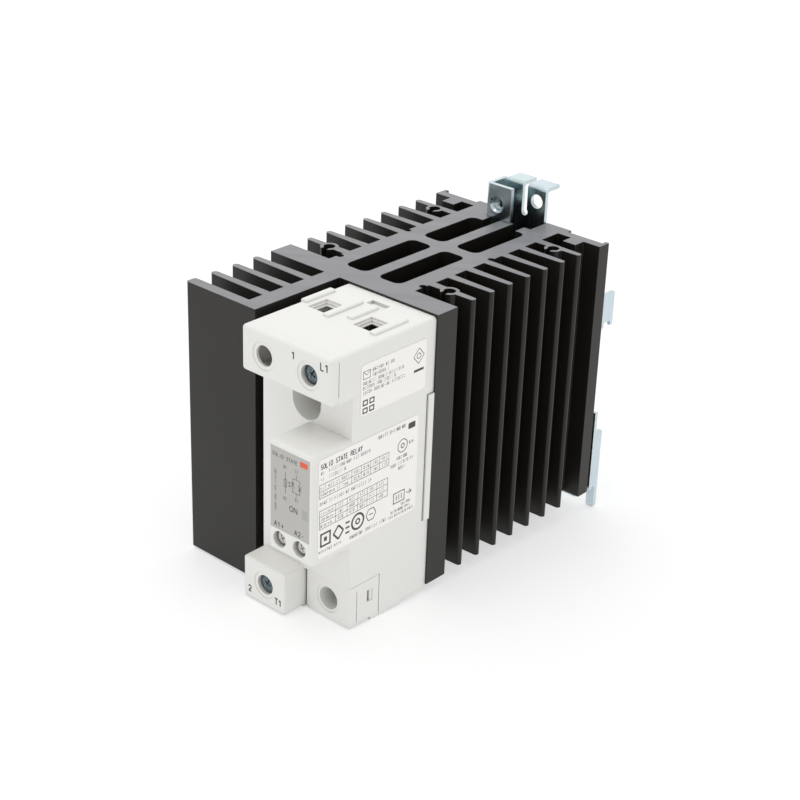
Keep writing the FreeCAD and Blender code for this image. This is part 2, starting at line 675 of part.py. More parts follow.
def snubber_resistor():
    centre = (BOARD_Y[1] + 2.2, 22.0)
    body = rod_x(1.7, centre, (22.0, 29.0))
    wires = rod_x(0.35, centre, (20.6, 30.4))
    foot_y = (BOARD_Y[1], BOARD_Y[1] + 2.5)
    feet = [box(about(x, 0.35), foot_y, about(centre[1], 0.35)) for x in (20.95, 30.05)]
    return fuse([body, wires] + feet)


def control_resistors():
    chips = []
    for column in range(3):
        for row in range(2):
            x = 5.0 + 4.2 * column
            z = 55.5 + 3.2 * row
            chips.append(box(about(x, 1.0), (BOARD_Y[0] - 0.6, BOARD_Y[0]), about(z, 0.6)))
    return Part.makeCompound(chips)


def status_led():
    return box(about(LED_XZ[0] - 0.7, 0.8), (BOARD_Y[0] - 1.2, BOARD_Y[0]), about(LED_XZ[1], 0.7))


def light_guide():
    """The clear guide from the lamp on the board to the window in the label."""
    window_y = (LABEL_Y[0], CONTROL_FRONT + 3)
    window = box(about(LED_XZ[0], LED_HALF[0]), window_y, about(LED_XZ[1], LED_HALF[1]))
    stem_y = (CONTROL_FRONT + 2, BOARD_Y[0] - 1.3)
    stem = box(about(LED_XZ[0] - 0.3, 0.8), stem_y, about(LED_XZ[1], 0.9))
    return window.fuse(stem).removeSplitter()


# Earth bracket --------------------------------------------------------------

def earth_bracket():
    """A bent steel angle in the heatsink's rear channel, with an M5 thread for the earth wire."""
    back_y = (SINK_DEPTH - BRACKET_SHEET, SINK_DEPTH)
    left, right = BRACKET_X
    back = box(BRACKET_X, back_y, (62.0, BRACKET_TOP))
    side_x = (left, left + BRACKET_SHEET)
    front_y = (BRACKET_FRONT, BRACKET_FRONT + BRACKET_SHEET)
    raised_z = (SINK_HEIGHT + 0.2, BRACKET_TOP)
    side = box(side_x, (BRACKET_FRONT, back_y[1]), raised_z)
    side_foot = box(side_x, (CHANNEL_FRONT + 0.3, back_y[1]), (78.0, raised_z[0]))
    front = box((left, 1.4), front_y, raised_z)
    collar = rod_y(3.3, EARTH_XZ, (front_y[0] + 0.2, front_y[1] + 1.4))
    tab_z = (BRACKET_TOP - SHEET, BRACKET_TOP)
    tabs = [box(x, (back_y[0], CLIP_DEPTH - 0.1), tab_z) for x in ((TAB_LEFT, -0.4), (1.7, right))]
    solid = fuse([back, side, side_foot, front, collar] + tabs)
    inner_left = left + BRACKET_SHEET
    solid = round_edges(solid, "z", [(left, BRACKET_FRONT), (left, back_y[1])], OUTER_BEND)
    solid = round_edges(solid, "z", [(inner_left, front_y[1])], INNER_BEND)
    solid = round_edges(solid, "x", [(back_y[0], tab_z[1])], OUTER_BEND)
    solid = round_edges(solid, "x", [(back_y[1], tab_z[0])], INNER_BEND)
    slot = box((-0.4, 1.7), (back_y[0] - 1, CLIP_DEPTH), (94.5, BRACKET_TOP + 1))
    voids = [
        slot,
        rod_y(1.25, (0.9, 94.5), (back_y[0] - 1, CLIP_DEPTH)),
        rod_y(2.4, (5.7, 99.3), (back_y[0] - 1, CLIP_DEPTH - 4)),
        rod_y(EARTH_R, EARTH_XZ, (BRACKET_FRONT - 1, BRACKET_FRONT + 6)),
        box((left - 1, TAB_LEFT), (CLIP_FACE - 0.6, CLIP_DEPTH), (TAB_NOTCH_Z, BRACKET_TOP + 1)),
        earth_chamfer(),
    ]
    voids += [rod_y(RIVET_R, centre, (back_y[0] - 1, CLIP_DEPTH)) for centre in BRACKET_RIVETS]
    return solid.cut(voids)


def earth_chamfer():
    """The countersink in front of the earth thread."""
    x, z = EARTH_XZ
    base = FreeCAD.Vector(x, BRACKET_FRONT, z)
    return Part.makeCone(EARTH_R + CHAMFER, EARTH_R, CHAMFER, base, FreeCAD.Vector(0, 1, 0))


def bracket_rivets():
    rivets = []
    for centre in BRACKET_RIVETS:
        shank = rod_y(RIVET_R, centre, (CLIP_FACE - BRACKET_SHEET, CLIP_FACE + SHEET))
        inner_y = CLIP_FACE - BRACKET_SHEET
        outer_y = CLIP_FACE + SHEET
        inner_head = rod_y(RIVET_HEAD_R, centre, (inner_y - RIVET_HEAD, inner_y))
        outer_head = rod_y(RIVET_HEAD_R, centre, (outer_y, outer_y + RIVET_HEAD))
        rivets.append(fuse([shank, inner_head, outer_head]))
    return Part.makeCompound(rivets)


# Rail clip ------------------------------------------------------------------

def din_plate():
    """The fixed plate with the two upper hooks."""
    web_y = (CLIP_FACE, CLIP_FACE + SHEET)
    web = box((-WEB_HALF, WEB_HALF), web_y, (-1.3, HOOK_Z[1]))
    tongue = box((-8.0, 8.0), web_y, (HOOK_Z[1] - 1, 89.0))
    hook = box((HALF - SHEET, HALF), (CLIP_FACE, CLIP_DEPTH), HOOK_Z)
    neck = box((WEB_HALF - 1, HALF), web_y, HOOK_Z)
    throat = box((HALF - SHEET - 1, HALF + 1), HOOK_GAP_Y, (HOOK_Z[0] - 1, THROAT_TOP))
    foot = box((25.0, WEB_HALF), (116.5, web_y[1]), (-1.3, -0.1))
    side = fuse([hook, neck]).cut(throat)
    side = round_edges(side, "z", [(HALF, CLIP_FACE)], OUTER_BEND)
    side = round_edges(side, "x", [(CLIP_DEPTH, HOOK_Z[0]), (CLIP_DEPTH, HOOK_Z[1])], 0.8)
    solid = fuse([web, tongue] + both_sides([side, foot]))
    through = (CLIP_FACE - 1, CLIP_FACE + 3)
    voids = [box(about(0, WINDOW_HALF), through, SPRING_Z)]
    voids += [rod_y(RIVET_R, centre, through) for centre in SLIDER_RIVETS + BRACKET_RIVETS]
    voids += [rod_y(CLIP_SCREW_R + 0.2, centre, through) for centre in CLIP_SCREWS]
    return solid.cut(voids)


def din_slider():
    """The sprung lower jaw with its catch and its two release tabs."""
    web = box((-HALF, HALF), SLIDER_Y, (0.0, SLIDER_FLANGE_TOP))
    shoulder = box((-31.0, 31.0), SLIDER_Y, (SLIDER_FLANGE_TOP, CATCH_FLOOR))
    flange = box((HALF - SHEET, HALF), (SLIDER_Y[0], CLIP_DEPTH), (0.6, SLIDER_FLANGE_TOP))
    ear = box((31.8, HALF), SLIDER_Y, (SLIDER_FLANGE_TOP, 30.0))
    tab = soft_box((31.6, HALF), (CLIP_DEPTH - SHEET, CLIP_DEPTH), (-TAB_DROP, 1.8), 1.0, "y")
    tab_link = box((31.6, HALF), (SLIDER_Y[0], CLIP_DEPTH), (0.6, 1.8))
    catch_x = (-9.0, 9.0)
    catch_z = CATCH_FLOOR - SHEET
    floor = box(catch_x, (SLIDER_Y[0], CLIP_DEPTH), (catch_z, CATCH_FLOOR))
    lip = box(catch_x, (CLIP_DEPTH - SHEET, CLIP_DEPTH), (catch_z, CATCH_FLOOR + 2.2))
    flange = round_edges(flange, "x", [(CLIP_DEPTH, SLIDER_FLANGE_TOP)], 0.8)
    solid = fuse([web, shoulder, floor, lip] + both_sides([flange, ear, tab_link, tab]))
    through = (SLIDER_Y[0] - 1, SLIDER_Y[1] + 1)
    voids = [box(about(0, WINDOW_HALF), through, SPRING_Z)]
    for x, z in SLIDER_RIVETS:
        slot_z = (z - 2.0, z + SLIDER_TRAVEL + 2.0)
        voids.append(box(about(x, SLOT_HALF), through, slot_z))
    return solid.cut(voids)


def slider_rivets():
    """Shouldered rivets that guide the slider's slots."""
    rivets = []
    for centre in SLIDER_RIVETS:
        shank = rod_y(RIVET_R, centre, (CLIP_FACE, SLIDER_Y[0]))
        collar = rod_y(SLOT_HALF - 0.1, centre, (CLIP_FACE + SHEET, SLIDER_Y[1] + 0.15))
        head = rod_y(3.4, centre, (SLIDER_Y[1] + 0.15, SLIDER_Y[1] + 1.2))
        rivets.append(fuse([shank, collar, head]))
    return Part.makeCompound(rivets)


def din_plate_screws():
    """Flat-headed screws that hold the plate on the heatsink's rear wall."""
    screws = []
    for centre in CLIP_SCREWS:
        head = rod_y(2.9, centre, (CLIP_FACE + SHEET, CLIP_FACE + SHEET + 0.9))
        shank = rod_y(CLIP_SCREW_R, centre, (CLIP_SCREW_TIP, CLIP_FACE + SHEET))
        recess = cross_slot(centre, (CLIP_FACE + SHEET + 0.4, CLIP_FACE + SHEET + 2), 1.5, 0.35)
        screws.append(fuse([head, shank]).cut(recess))
    return Part.makeCompound(screws)


def slider_spring():
    """A small compression spring that stands in the windows of plate and slider."""
    length = SPRING_Z[1] - SPRING_Z[0] - 2 * SPRING_WIRE - 0.1
    pitch = length / SPRING_TURNS
    y_middle = CLIP_FACE + SHEET + 0.05
    path = Part.makeHelix(pitch, length, SPRING_R)
    start = FreeCAD.Vector(SPRING_R, 0, 0)
    tilt = FreeCAD.Vector(0, 1, pitch / (2 * math.pi * SPRING_R))
    section = Part.Wire(Part.Circle(start, tilt, SPRING_WIRE).toShape())
    coil = Part.Wire(path).makePipeShell([section], True, True)
    coil.translate(FreeCAD.Vector(0, y_middle, SPRING_Z[0] + SPRING_WIRE + 0.05))
    return coil


def build():
    os.makedirs("parts", exist_ok=True)
    save("heatsink", heatsink())
    save("main_housing", main_housing())
    save("upper_terminal_housing", upper_terminal_housing())
    save("terminal_front_cover", terminal_front_cover())
    save("control_housing", control_housing())
    save("load_terminal_housing", load_terminal_housing())
    save("lower_front_cover", lower_front_cover())
    save("side_clip_strip", side_clip_strip())
    save("front_label", label_plate())
    save("side_label_upper", side_label((3.6, 31.8), (70.2, 86.4)))
    save("side_label_lower", side_label((-13.2, 29.4), (29.8, 62.3)))
    save("light_guide", light_guide())
    save("line_screw", power_screw(LINE_XZ))
    save("line_cage", power_cage(LINE_XZ))
    save("load_screw", power_screw(LOAD_XZ))
    save("load_cage", power_cage(LOAD_XZ))
    save("control_screw_a1", control_screw(A1_XZ))
    save("control_clamp_a1", control_clamp(A1_XZ))
    save("control_screw_a2", control_screw(A2_XZ))
    save("control_clamp_a2", control_clamp(A2_XZ))
    save("control_contact_a1", control_contact(A1_XZ))
    save("control_contact_a2", control_contact(A2_XZ))
    save("line_busbar", line_busbar())
    save("load_busbar", load_busbar())
    save("module_base_plate", module_base_plate())
    save("thermal_compound", thermal_compound())
    save("fixing_screws", fixing_screws())
    save("ceramic_substrate", ceramic_substrate())
    save("thyristor_chips", thyristor_chips())
    save("chip_link", chip_link())
    save("gate_leads", gate_leads())
    save("control_board", control_board())
    save("optocoupler", optocoupler())
    save("varistor", varistor())
    save("snubber_capacitor", snubber_capacitor())
    save("snubber_resistor", snubber_resistor())
    save("control_resistors", control_resistors())
    save("status_led", status_led())
    save("earth_bracket", earth_bracket())
    save("bracket_rivets", bracket_rivets())
    save("din_plate", din_plate())
    save("din_plate_screws", din_plate_screws())
    save("din_slider", din_slider())
    save("slider_rivets", slider_rivets())
    save("slider_spring", slider_spring())


build()
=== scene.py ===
import json
import math
import random

import bmesh
import bpy
from mathutils import Matrix, Vector


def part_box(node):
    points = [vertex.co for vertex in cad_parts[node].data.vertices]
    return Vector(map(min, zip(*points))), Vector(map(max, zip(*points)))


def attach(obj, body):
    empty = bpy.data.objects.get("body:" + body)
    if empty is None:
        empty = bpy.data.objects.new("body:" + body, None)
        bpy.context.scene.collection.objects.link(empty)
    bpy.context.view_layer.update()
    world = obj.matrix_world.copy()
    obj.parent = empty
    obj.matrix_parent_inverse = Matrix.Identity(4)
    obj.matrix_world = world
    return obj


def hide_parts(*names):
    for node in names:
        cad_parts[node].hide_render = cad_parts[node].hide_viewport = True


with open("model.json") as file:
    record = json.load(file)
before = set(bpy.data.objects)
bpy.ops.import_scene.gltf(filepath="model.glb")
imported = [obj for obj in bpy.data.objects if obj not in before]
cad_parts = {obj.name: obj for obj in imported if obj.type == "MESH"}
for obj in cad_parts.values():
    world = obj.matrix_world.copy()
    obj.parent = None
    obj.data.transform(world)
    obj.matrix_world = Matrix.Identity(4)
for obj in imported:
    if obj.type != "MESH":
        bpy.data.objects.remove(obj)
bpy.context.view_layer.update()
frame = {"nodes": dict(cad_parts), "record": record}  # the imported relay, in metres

nodes = frame["nodes"]
mm = 0.001
print("frame loaded:", len(nodes), "nodes")


# shader groups: each one is built once and placed in many materials

def newGroup(name, inputs, outputs):
    group = bpy.data.node_groups.new(name, "ShaderNodeTree")
    for label, kind, value in inputs:
        socket = group.interface.new_socket(label, in_out="INPUT", socket_type=kind)
        socket.default_value = value
    for label, kind in outputs:
        group.interface.new_socket(label, in_out="OUTPUT", socket_type=kind)
    start = group.nodes.new("NodeGroupInput")
    end = group.nodes.new("NodeGroupOutput")
    return group, start, end


def mathNode(tree, operation, first, second=None, clamp=False):
    node = tree.nodes.new("ShaderNodeMath")
    node.operation = operation
    node.use_clamp = clamp
    for socket, value in zip(node.inputs, (first, second)):
        if value is None:
            continue
        if isinstance(value, (int, float)):
            socket.default_value = value
        else:
            tree.links.new(value, socket)
    return node.outputs[0]


def mixColours(tree, factor, first, second, blend="MIX"):
    node = tree.nodes.new("ShaderNodeMix")
    node.data_type = "RGBA"
    node.blend_type = blend
    for name, value in (("Factor_Float", factor), ("A_Color", first), ("B_Color", second)):
        socket = next(s for s in node.inputs if s.identifier == name)
        if isinstance(value, (int, float)):
            socket.default_value = value
        elif isinstance(value, tuple):
            socket.default_value = (*value, 1.0)
        else:
            tree.links.new(value, socket)
    return next(s for s in node.outputs if s.identifier == "Result_Color")


def spread(tree, value, low, high):
    node = tree.nodes.new("ShaderNodeMapRange")
    tree.links.new(value, node.inputs["Value"])
    node.inputs["To Min"].default_value = low
    node.inputs["To Max"].default_value = high
    return node.outputs["Result"]


def grainGroup():
    inputs = [
        ("Scale", "NodeSocketFloat", 4000.0),
        ("Stretch", "NodeSocketVector", (1.0, 1.0, 1.0)),
        ("Blotch Scale", "NodeSocketFloat", 60.0),
    ]
    outputs = [("Grain", "NodeSocketFloat"), ("Blotch", "NodeSocketFloat")]
    group, start, end = newGroup("mouldGrain", inputs, outputs)
    place = group.nodes.new("ShaderNodeTexCoord")
    stretched = group.nodes.new("ShaderNodeVectorMath")
    stretched.operation = "MULTIPLY"
    group.links.new(place.outputs["Object"], stretched.inputs[0])
    group.links.new(start.outputs["Stretch"], stretched.inputs[1])
    fine = group.nodes.new("ShaderNodeTexNoise")
    fine.inputs["Detail"].default_value = 4.0
    fine.inputs["Roughness"].default_value = 0.6
    group.links.new(stretched.outputs[0], fine.inputs["Vector"])
    group.links.new(start.outputs["Scale"], fine.inputs["Scale"])
    soft = group.nodes.new("ShaderNodeTexNoise")
    soft.inputs["Detail"].default_value = 3.0
    group.links.new(place.outputs["Object"], soft.inputs["Vector"])
    group.links.new(start.outputs["Blotch Scale"], soft.inputs["Scale"])
    group.links.new(fine.outputs["Fac"], end.inputs["Grain"])
    group.links.new(soft.outputs["Fac"], end.inputs["Blotch"])
    return group


def edgeGroup():
    inputs = [("Radius", "NodeSocketFloat", 0.0003), ("Strength", "NodeSocketFloat", 6.0)]
    outputs = [("Edge", "NodeSocketFloat"), ("Soft Normal", "NodeSocketVector")]
    group, start, end = newGroup("softEdge", inputs, outputs)
    bevel = group.nodes.new("ShaderNodeBevel")
    bevel.samples = 6
    group.links.new(start.outputs["Radius"], bevel.inputs["Radius"])
    surface = group.nodes.new("ShaderNodeNewGeometry")
    turn = group.nodes.new("ShaderNodeVectorMath")
    turn.operation = "DOT_PRODUCT"
    group.links.new(bevel.outputs[0], turn.inputs[0])
    group.links.new(surface.outputs["Normal"], turn.inputs[1])
    away = mathNode(group, "SUBTRACT", 1.0, turn.outputs["Value"], clamp=True)
    mask = mathNode(group, "MULTIPLY", away, start.outputs["Strength"], clamp=True)
    group.links.new(mask, end.inputs["Edge"])
    group.links.new(bevel.outputs[0], end.inputs["Soft Normal"])
    return group


def dustGroup():
    inputs = [("Amount", "NodeSocketFloat", 0.1), ("Scale", "NodeSocketFloat", 900.0)]
    outputs = [("Dust", "NodeSocketFloat")]
    group, start, end = newGroup("settledDust", inputs, outputs)
    place = group.nodes.new("ShaderNodeTexCoord")
    split = group.nodes.new("ShaderNodeSeparateXYZ")
    group.links.new(place.outputs["Normal"], split.inputs[0])
    upward = mathNode(group, "MULTIPLY_ADD", split.outputs["Z"], 0.5, clamp=True)
    upward.node.inputs[2].default_value = 0.5
    speck = group.nodes.new("ShaderNodeTexNoise")
    speck.inputs["Detail"].default_value = 5.0
    group.links.new(place.outputs["Object"], speck.inputs["Vector"])
    group.links.new(start.outputs["Scale"], speck.inputs["Scale"])
    sharp = mathNode(group, "POWER", speck.outputs["Fac"], 2.5)
    both = mathNode(group, "MULTIPLY", sharp, upward)
    group.links.new(mathNode(group, "MULTIPLY", both, start.outputs["Amount"], clamp=True), end.inputs["Dust"])
    return group


def sawGroup():
    inputs = [
        ("Centre", "NodeSocketVector", (0.4, -0.6, 0.0)),
        ("Pitch", "NodeSocketFloat", 2600.0),
    ]
    outputs = [("Marks", "NodeSocketFloat"), ("Sheen", "NodeSocketFloat")]
    group, start, end = newGroup("sawMarks", inputs, outputs)
    place = group.nodes.new("ShaderNodeTexCoord")
    apart = group.nodes.new("ShaderNodeVectorMath")
    apart.operation = "DISTANCE"
    group.links.new(place.outputs["Object"], apart.inputs[0])
    group.links.new(start.outputs["Centre"], apart.inputs[1])
    marks = group.nodes.new("ShaderNodeTexNoise")
    marks.noise_dimensions = "1D"
    marks.inputs["Detail"].default_value = 6.0
    marks.inputs["Roughness"].default_value = 0.7
    group.links.new(apart.outputs["Value"], marks.inputs["W"])
    group.links.new(start.outputs["Pitch"], marks.inputs["Scale"])
    sheen = group.nodes.new("ShaderNodeTexNoise")
    sheen.noise_dimensions = "1D"
    sheen.inputs["Scale"].default_value = 160.0
    group.links.new(apart.outputs["Value"], sheen.inputs["W"])
    group.links.new(marks.outputs["Fac"], end.inputs["Marks"])
    group.links.new(sheen.outputs["Fac"], end.inputs["Sheen"])
    return group


groups = {
    "grain": grainGroup(),
    "edge": edgeGroup(),
    "dust": dustGroup(),
    "saw": sawGroup(),
}


def place(tree, name, **values):
    node = tree.nodes.new("ShaderNodeGroup")
    node.node_tree = groups[name]
    for label, value in values.items():
        node.inputs[label.replace("_", " ")].default_value = value
    return node


def emptyMaterial(name):
    material = bpy.data.materials.new(name)
    material.use_nodes = True
    tree = material.node_tree
    tree.nodes.clear()
    out = tree.nodes.new("ShaderNodeOutputMaterial")
    shader = tree.nodes.new("ShaderNodeBsdfPrincipled")
    tree.links.new(shader.outputs["BSDF"], out.inputs["Surface"])
    return material, tree, shader


def bumpFrom(tree, height, depth, under=None):
    bump = tree.nodes.new("ShaderNodeBump")
    bump.inputs["Strength"].default_value = 1.0
    bump.inputs["Distance"].default_value = depth
    tree.links.new(height, bump.inputs["Height"])
    if under is not None:
        tree.links.new(under, bump.inputs["Normal"])
    return bump.outputs["Normal"]


dustColour = (0.62, 0.60, 0.56)

# colour: main colour; shade: its darker blotches; edge: the colour on edges, partly edge wear and partly a painted
# highlight, strongest on the metals
# rough: lowest and highest roughness; grain: features per metre; depth: bump height in metres
# recess: painted shade in hollows and corners, with its reach in metres, the openness that counts as open, and the
# darkest share of the colour
finishes = {
    "housing": {"colour": (0.85, 0.845, 0.815), "shade": (0.82, 0.816, 0.785), "edge": (0.86, 0.858, 0.84),
                "rough": (0.42, 0.56), "grain": 7000, "depth": 0.000018, "dust": 0.2, "recess": (0.007, 0.45, 0.18)},
    "front_label": {"colour": (0.50, 0.492, 0.462), "shade": (0.475, 0.468, 0.44), "edge": (0.56, 0.55, 0.52),
                    "rough": (0.36, 0.48), "grain": 9000, "depth": 0.000008, "dust": 0.12},
    "sticker": {"colour": (0.98, 0.965, 0.935), "shade": (0.96, 0.945, 0.915), "edge": (0.93, 0.92, 0.9),
                "rough": (0.40, 0.52), "grain": 5000, "depth": 0.000007, "dust": 0.12},
    "light_guide": {"colour": (0.42, 0.42, 0.395), "shade": (0.38, 0.38, 0.36), "edge": (0.55, 0.55, 0.52),
                    "rough": (0.16, 0.26), "grain": 3000, "depth": 0.000004, "dust": 0.08},
    "tinned_copper": {"colour": (0.70, 0.70, 0.68), "shade": (0.56, 0.55, 0.53), "edge": (0.82, 0.82, 0.80),
                      "rough": (0.28, 0.45), "grain": 4000, "depth": 0.00001, "metal": 1.0},
    "copper": {"colour": (0.78, 0.40, 0.26), "shade": (0.60, 0.28, 0.17), "edge": (0.90, 0.55, 0.40),
               "rough": (0.25, 0.42), "grain": 3500, "depth": 0.00001, "metal": 1.0},
    "base_aluminium": {"colour": (0.66, 0.66, 0.68), "shade": (0.55, 0.55, 0.57), "edge": (0.80, 0.80, 0.81),
                       "rough": (0.30, 0.46), "grain": 2500, "depth": 0.00001, "metal": 1.0,
                       "stretch": (6.0, 1.0, 0.4)},
    "compound": {"colour": (0.76, 0.76, 0.74), "shade": (0.66, 0.66, 0.64), "edge": (0.80, 0.80, 0.78),
                 "rough": (0.50, 0.70), "grain": 1200, "depth": 0.00004},
    "screw_zinc": {"colour": (0.25, 0.30, 0.33), "shade": (0.14, 0.18, 0.20), "edge": (0.75, 0.84, 0.90),
                   "rough": (0.14, 0.30), "grain": 5000, "depth": 0.000010, "metal": 1.0, "dust": 0.08},
    # powerScrew: the dark colour and shade are a painted dark reflection of the surroundings, and the bright edge
    # colour is a painted glint
    "powerScrew": {"colour": (0.135, 0.175, 0.19), "shade": (0.07, 0.095, 0.105), "edge": (0.62, 0.72, 0.78),
                   "rough": (0.10, 0.24), "grain": 3000, "depth": 0.000022, "metal": 1.0, "blotch": 500.0},
    "controlScrew": {"colour": (0.74, 0.73, 0.70), "shade": (0.40, 0.39, 0.37), "edge": (0.92, 0.91, 0.89),
                     "rough": (0.14, 0.30), "grain": 4000, "depth": 0.000016, "metal": 1.0, "blotch": 400.0},
    "tinned_steel": {"colour": (0.62, 0.63, 0.63), "shade": (0.47, 0.48, 0.48), "edge": (0.80, 0.80, 0.80),
                     "rough": (0.28, 0.44), "grain": 3000, "depth": 0.000012, "metal": 1.0},
    "ceramic": {"colour": (0.86, 0.85, 0.81), "shade": (0.80, 0.79, 0.75), "edge": (0.90, 0.89, 0.86),
                "rough": (0.35, 0.5), "grain": 8000, "depth": 0.000008},
    "silicon": {"colour": (0.06, 0.065, 0.08), "shade": (0.04, 0.045, 0.06), "edge": (0.20, 0.20, 0.22),
                "rough": (0.12, 0.22), "grain": 6000, "depth": 0.000003},
    "board": {"colour": (0.03, 0.17, 0.07), "shade": (0.02, 0.12, 0.05), "edge": (0.45, 0.42, 0.28),
              "rough": (0.30, 0.45), "grain": 4500, "depth": 0.000010},
    "black_epoxy": {"colour": (0.022, 0.022, 0.022), "shade": (0.015, 0.015, 0.015), "edge": (0.06, 0.06, 0.06),
                    "rough": (0.45, 0.62), "grain": 8000, "depth": 0.000010},
    "varistor": {"colour": (0.06, 0.15, 0.45), "shade": (0.04, 0.11, 0.36), "edge": (0.14, 0.24, 0.55),
                 "rough": (0.32, 0.46), "grain": 2000, "depth": 0.00003},
    "capacitor": {"colour": (0.55, 0.50, 0.32), "shade": (0.48, 0.43, 0.27), "edge": (0.66, 0.61, 0.42),
                  "rough": (0.40, 0.55), "grain": 5000, "depth": 0.000012},
    "resistor": {"colour": (0.36, 0.52, 0.58), "shade": (0.30, 0.44, 0.50), "edge": (0.50, 0.64, 0.68),
                 "rough": (0.28, 0.42), "grain": 2500, "depth": 0.00002},
    "led": {"colour": (0.45, 0.72, 0.36), "shade": (0.38, 0.62, 0.30), "edge": (0.65, 0.85, 0.55),
            "rough": (0.12, 0.2), "grain": 3000, "depth": 0.000005},
    "spring_steel": {"colour": (0.48, 0.48, 0.49), "shade": (0.32, 0.32, 0.33), "edge": (0.70, 0.70, 0.70),
                     "rough": (0.22, 0.36), "grain": 5000, "depth": 0.000008, "metal": 1.0},
}


def finishMaterial(name, finish):
    material, tree, shader = emptyMaterial(name)
    grain = place(tree, "grain", Scale=float(finish["grain"]), Stretch=finish.get("stretch", (1.0, 1.0, 1.0)),
                  Blotch_Scale=finish.get("blotch", 70.0))
    edge = place(tree, "edge", Radius=finish.get("radius", 0.00022), Strength=finish.get("wear", 5.0))
    blotch = grain.outputs["Blotch"]
    base = mixColours(tree, blotch, finish["shade"], finish["colour"])
    # edges take the edge colour: edge wear, and on the metals a painted highlight
    colour = mixColours(tree, edge.outputs["Edge"], base, finish["edge"])
    if "dust" in finish:
        dust = place(tree, "dust", Amount=finish["dust"])
        colour = mixColours(tree, dust.outputs["Dust"], colour, dustColour)
    # painted shade: the colour is darkened where the ambient occlusion finds a hollow, corner or bore
    if "recess" in finish:
        paintedShadeOcclusion = tree.nodes.new("ShaderNodeAmbientOcclusion")
        paintedShadeOcclusion.samples = 6
        reach, openness, darkest = finish["recess"]
        paintedShadeOcclusion.inputs["Distance"].default_value = reach
        depth = spread(tree, paintedShadeOcclusion.outputs["AO"], darkest, 1.0)
        depth.node.inputs["From Max"].default_value = openness
        colour = mixColours(tree, 1.0, colour, depth, "MULTIPLY")
    tree.links.new(colour, shader.inputs["Base Color"])
    rough = mathNode(tree, "MULTIPLY_ADD", grain.outputs["Grain"], 0.5)
    tree.links.new(mathNode(tree, "MULTIPLY", blotch, 0.5), rough.node.inputs[2])
    tree.links.new(spread(tree, rough, *finish["rough"]), shader.inputs["Roughness"])
    shader.inputs["Metallic"].default_value = finish.get("metal", 0.0)
    normal = bumpFrom(tree, grain.outputs["Grain"], finish["depth"], edge.outputs["Soft Normal"])
    tree.links.new(normal, shader.inputs["Normal"])
    return material


anodised = {
    "skin": (0.0115, 0.0098, 0.0074), "skinShade": (0.0075, 0.0064, 0.005), "skinRough": (0.36, 0.50),
    "sawn": (0.31, 0.31, 0.325), "sawnShade": (0.23, 0.23, 0.24), "sawnRough": (0.36, 0.54),
    "edge": (0.085, 0.083, 0.082),
    "drawScale": 2600.0, "drawStretch": (1.0, 1.0, 0.012), "drawDepth": 0.000014, "sawDepth": 0.00002,
    "blotchScale": 22.0, "edgeRadius": 0.00025, "edgeWearAndGlint": 3.5,
    "endStart": 0.9, "endFinish": 0.97, "sawnMetal": 0.55, "specular": 0.4,
}


def anodisedMaterial():
    # extruded and anodised black all round, then sawn to length, so both ends are bare
    look = anodised
    material, tree, shader = emptyMaterial("anodised")
    lines = place(tree, "grain", Scale=look["drawScale"], Stretch=look["drawStretch"],
                  Blotch_Scale=look["blotchScale"])
    saw = place(tree, "saw")
    edge = place(tree, "edge", Radius=look["edgeRadius"], Strength=look["edgeWearAndGlint"])
    point = tree.nodes.new("ShaderNodeTexCoord")
    split = tree.nodes.new("ShaderNodeSeparateXYZ")
    tree.links.new(point.outputs["Normal"], split.inputs[0])
    steep = mathNode(tree, "ABSOLUTE", split.outputs["Z"])
    ends = tree.nodes.new("ShaderNodeMapRange")
    ends.inputs["From Min"].default_value = look["endStart"]
    ends.inputs["From Max"].default_value = look["endFinish"]
    tree.links.new(steep, ends.inputs["Value"])
    end = ends.outputs["Result"]
    skin = mixColours(tree, lines.outputs["Blotch"], look["skinShade"], look["skin"])
    # lighter edges: edge wear and a painted highlight along the fin and plate edges
    skin = mixColours(tree, edge.outputs["Edge"], skin, look["edge"])
    sawn = mixColours(tree, saw.outputs["Sheen"], look["sawnShade"], look["sawn"])
    tree.links.new(mixColours(tree, end, skin, sawn), shader.inputs["Base Color"])
    skinRough = spread(tree, lines.outputs["Grain"], *look["skinRough"])
    sawnRough = spread(tree, saw.outputs["Marks"], *look["sawnRough"])
    rough = tree.nodes.new("ShaderNodeMix")
    for socket, value in zip(rough.inputs[:4], (end, None, skinRough, sawnRough)):
        if value is not None:
            tree.links.new(value, socket)
    tree.links.new(rough.outputs[0], shader.inputs["Roughness"])
    tree.links.new(mathNode(tree, "MULTIPLY", end, look["sawnMetal"]), shader.inputs["Metallic"])
    shader.inputs["Specular IOR Level"].default_value = look["specular"]
    drawn = bumpFrom(tree, lines.outputs["Grain"], look["drawDepth"], edge.outputs["Soft Normal"])
    sawHeight = mathNode(tree, "MULTIPLY", saw.outputs["Marks"], end)
    tree.links.new(bumpFrom(tree, sawHeight, look["sawDepth"], drawn), shader.inputs["Normal"])
    return material


zincPlate = {
    "cool": (0.62, 0.72, 0.81), "warm": (0.60, 0.70, 0.68), "dull": (0.36, 0.43, 0.47),
    "edge": (0.92, 0.96, 0.98), "rough": (0.15, 0.32), "depth": 0.000010,
    "grainScale": 2200.0, "grainStretch": (1.0, 1.0, 0.3), "grainBlotch": 90.0,
    "cloudScale": 160.0, "cloudBlotch": 34.0, "edgeRadius": 0.0003, "edgeWearAndGlint": 6.0, "dullPower": 3.0,
}


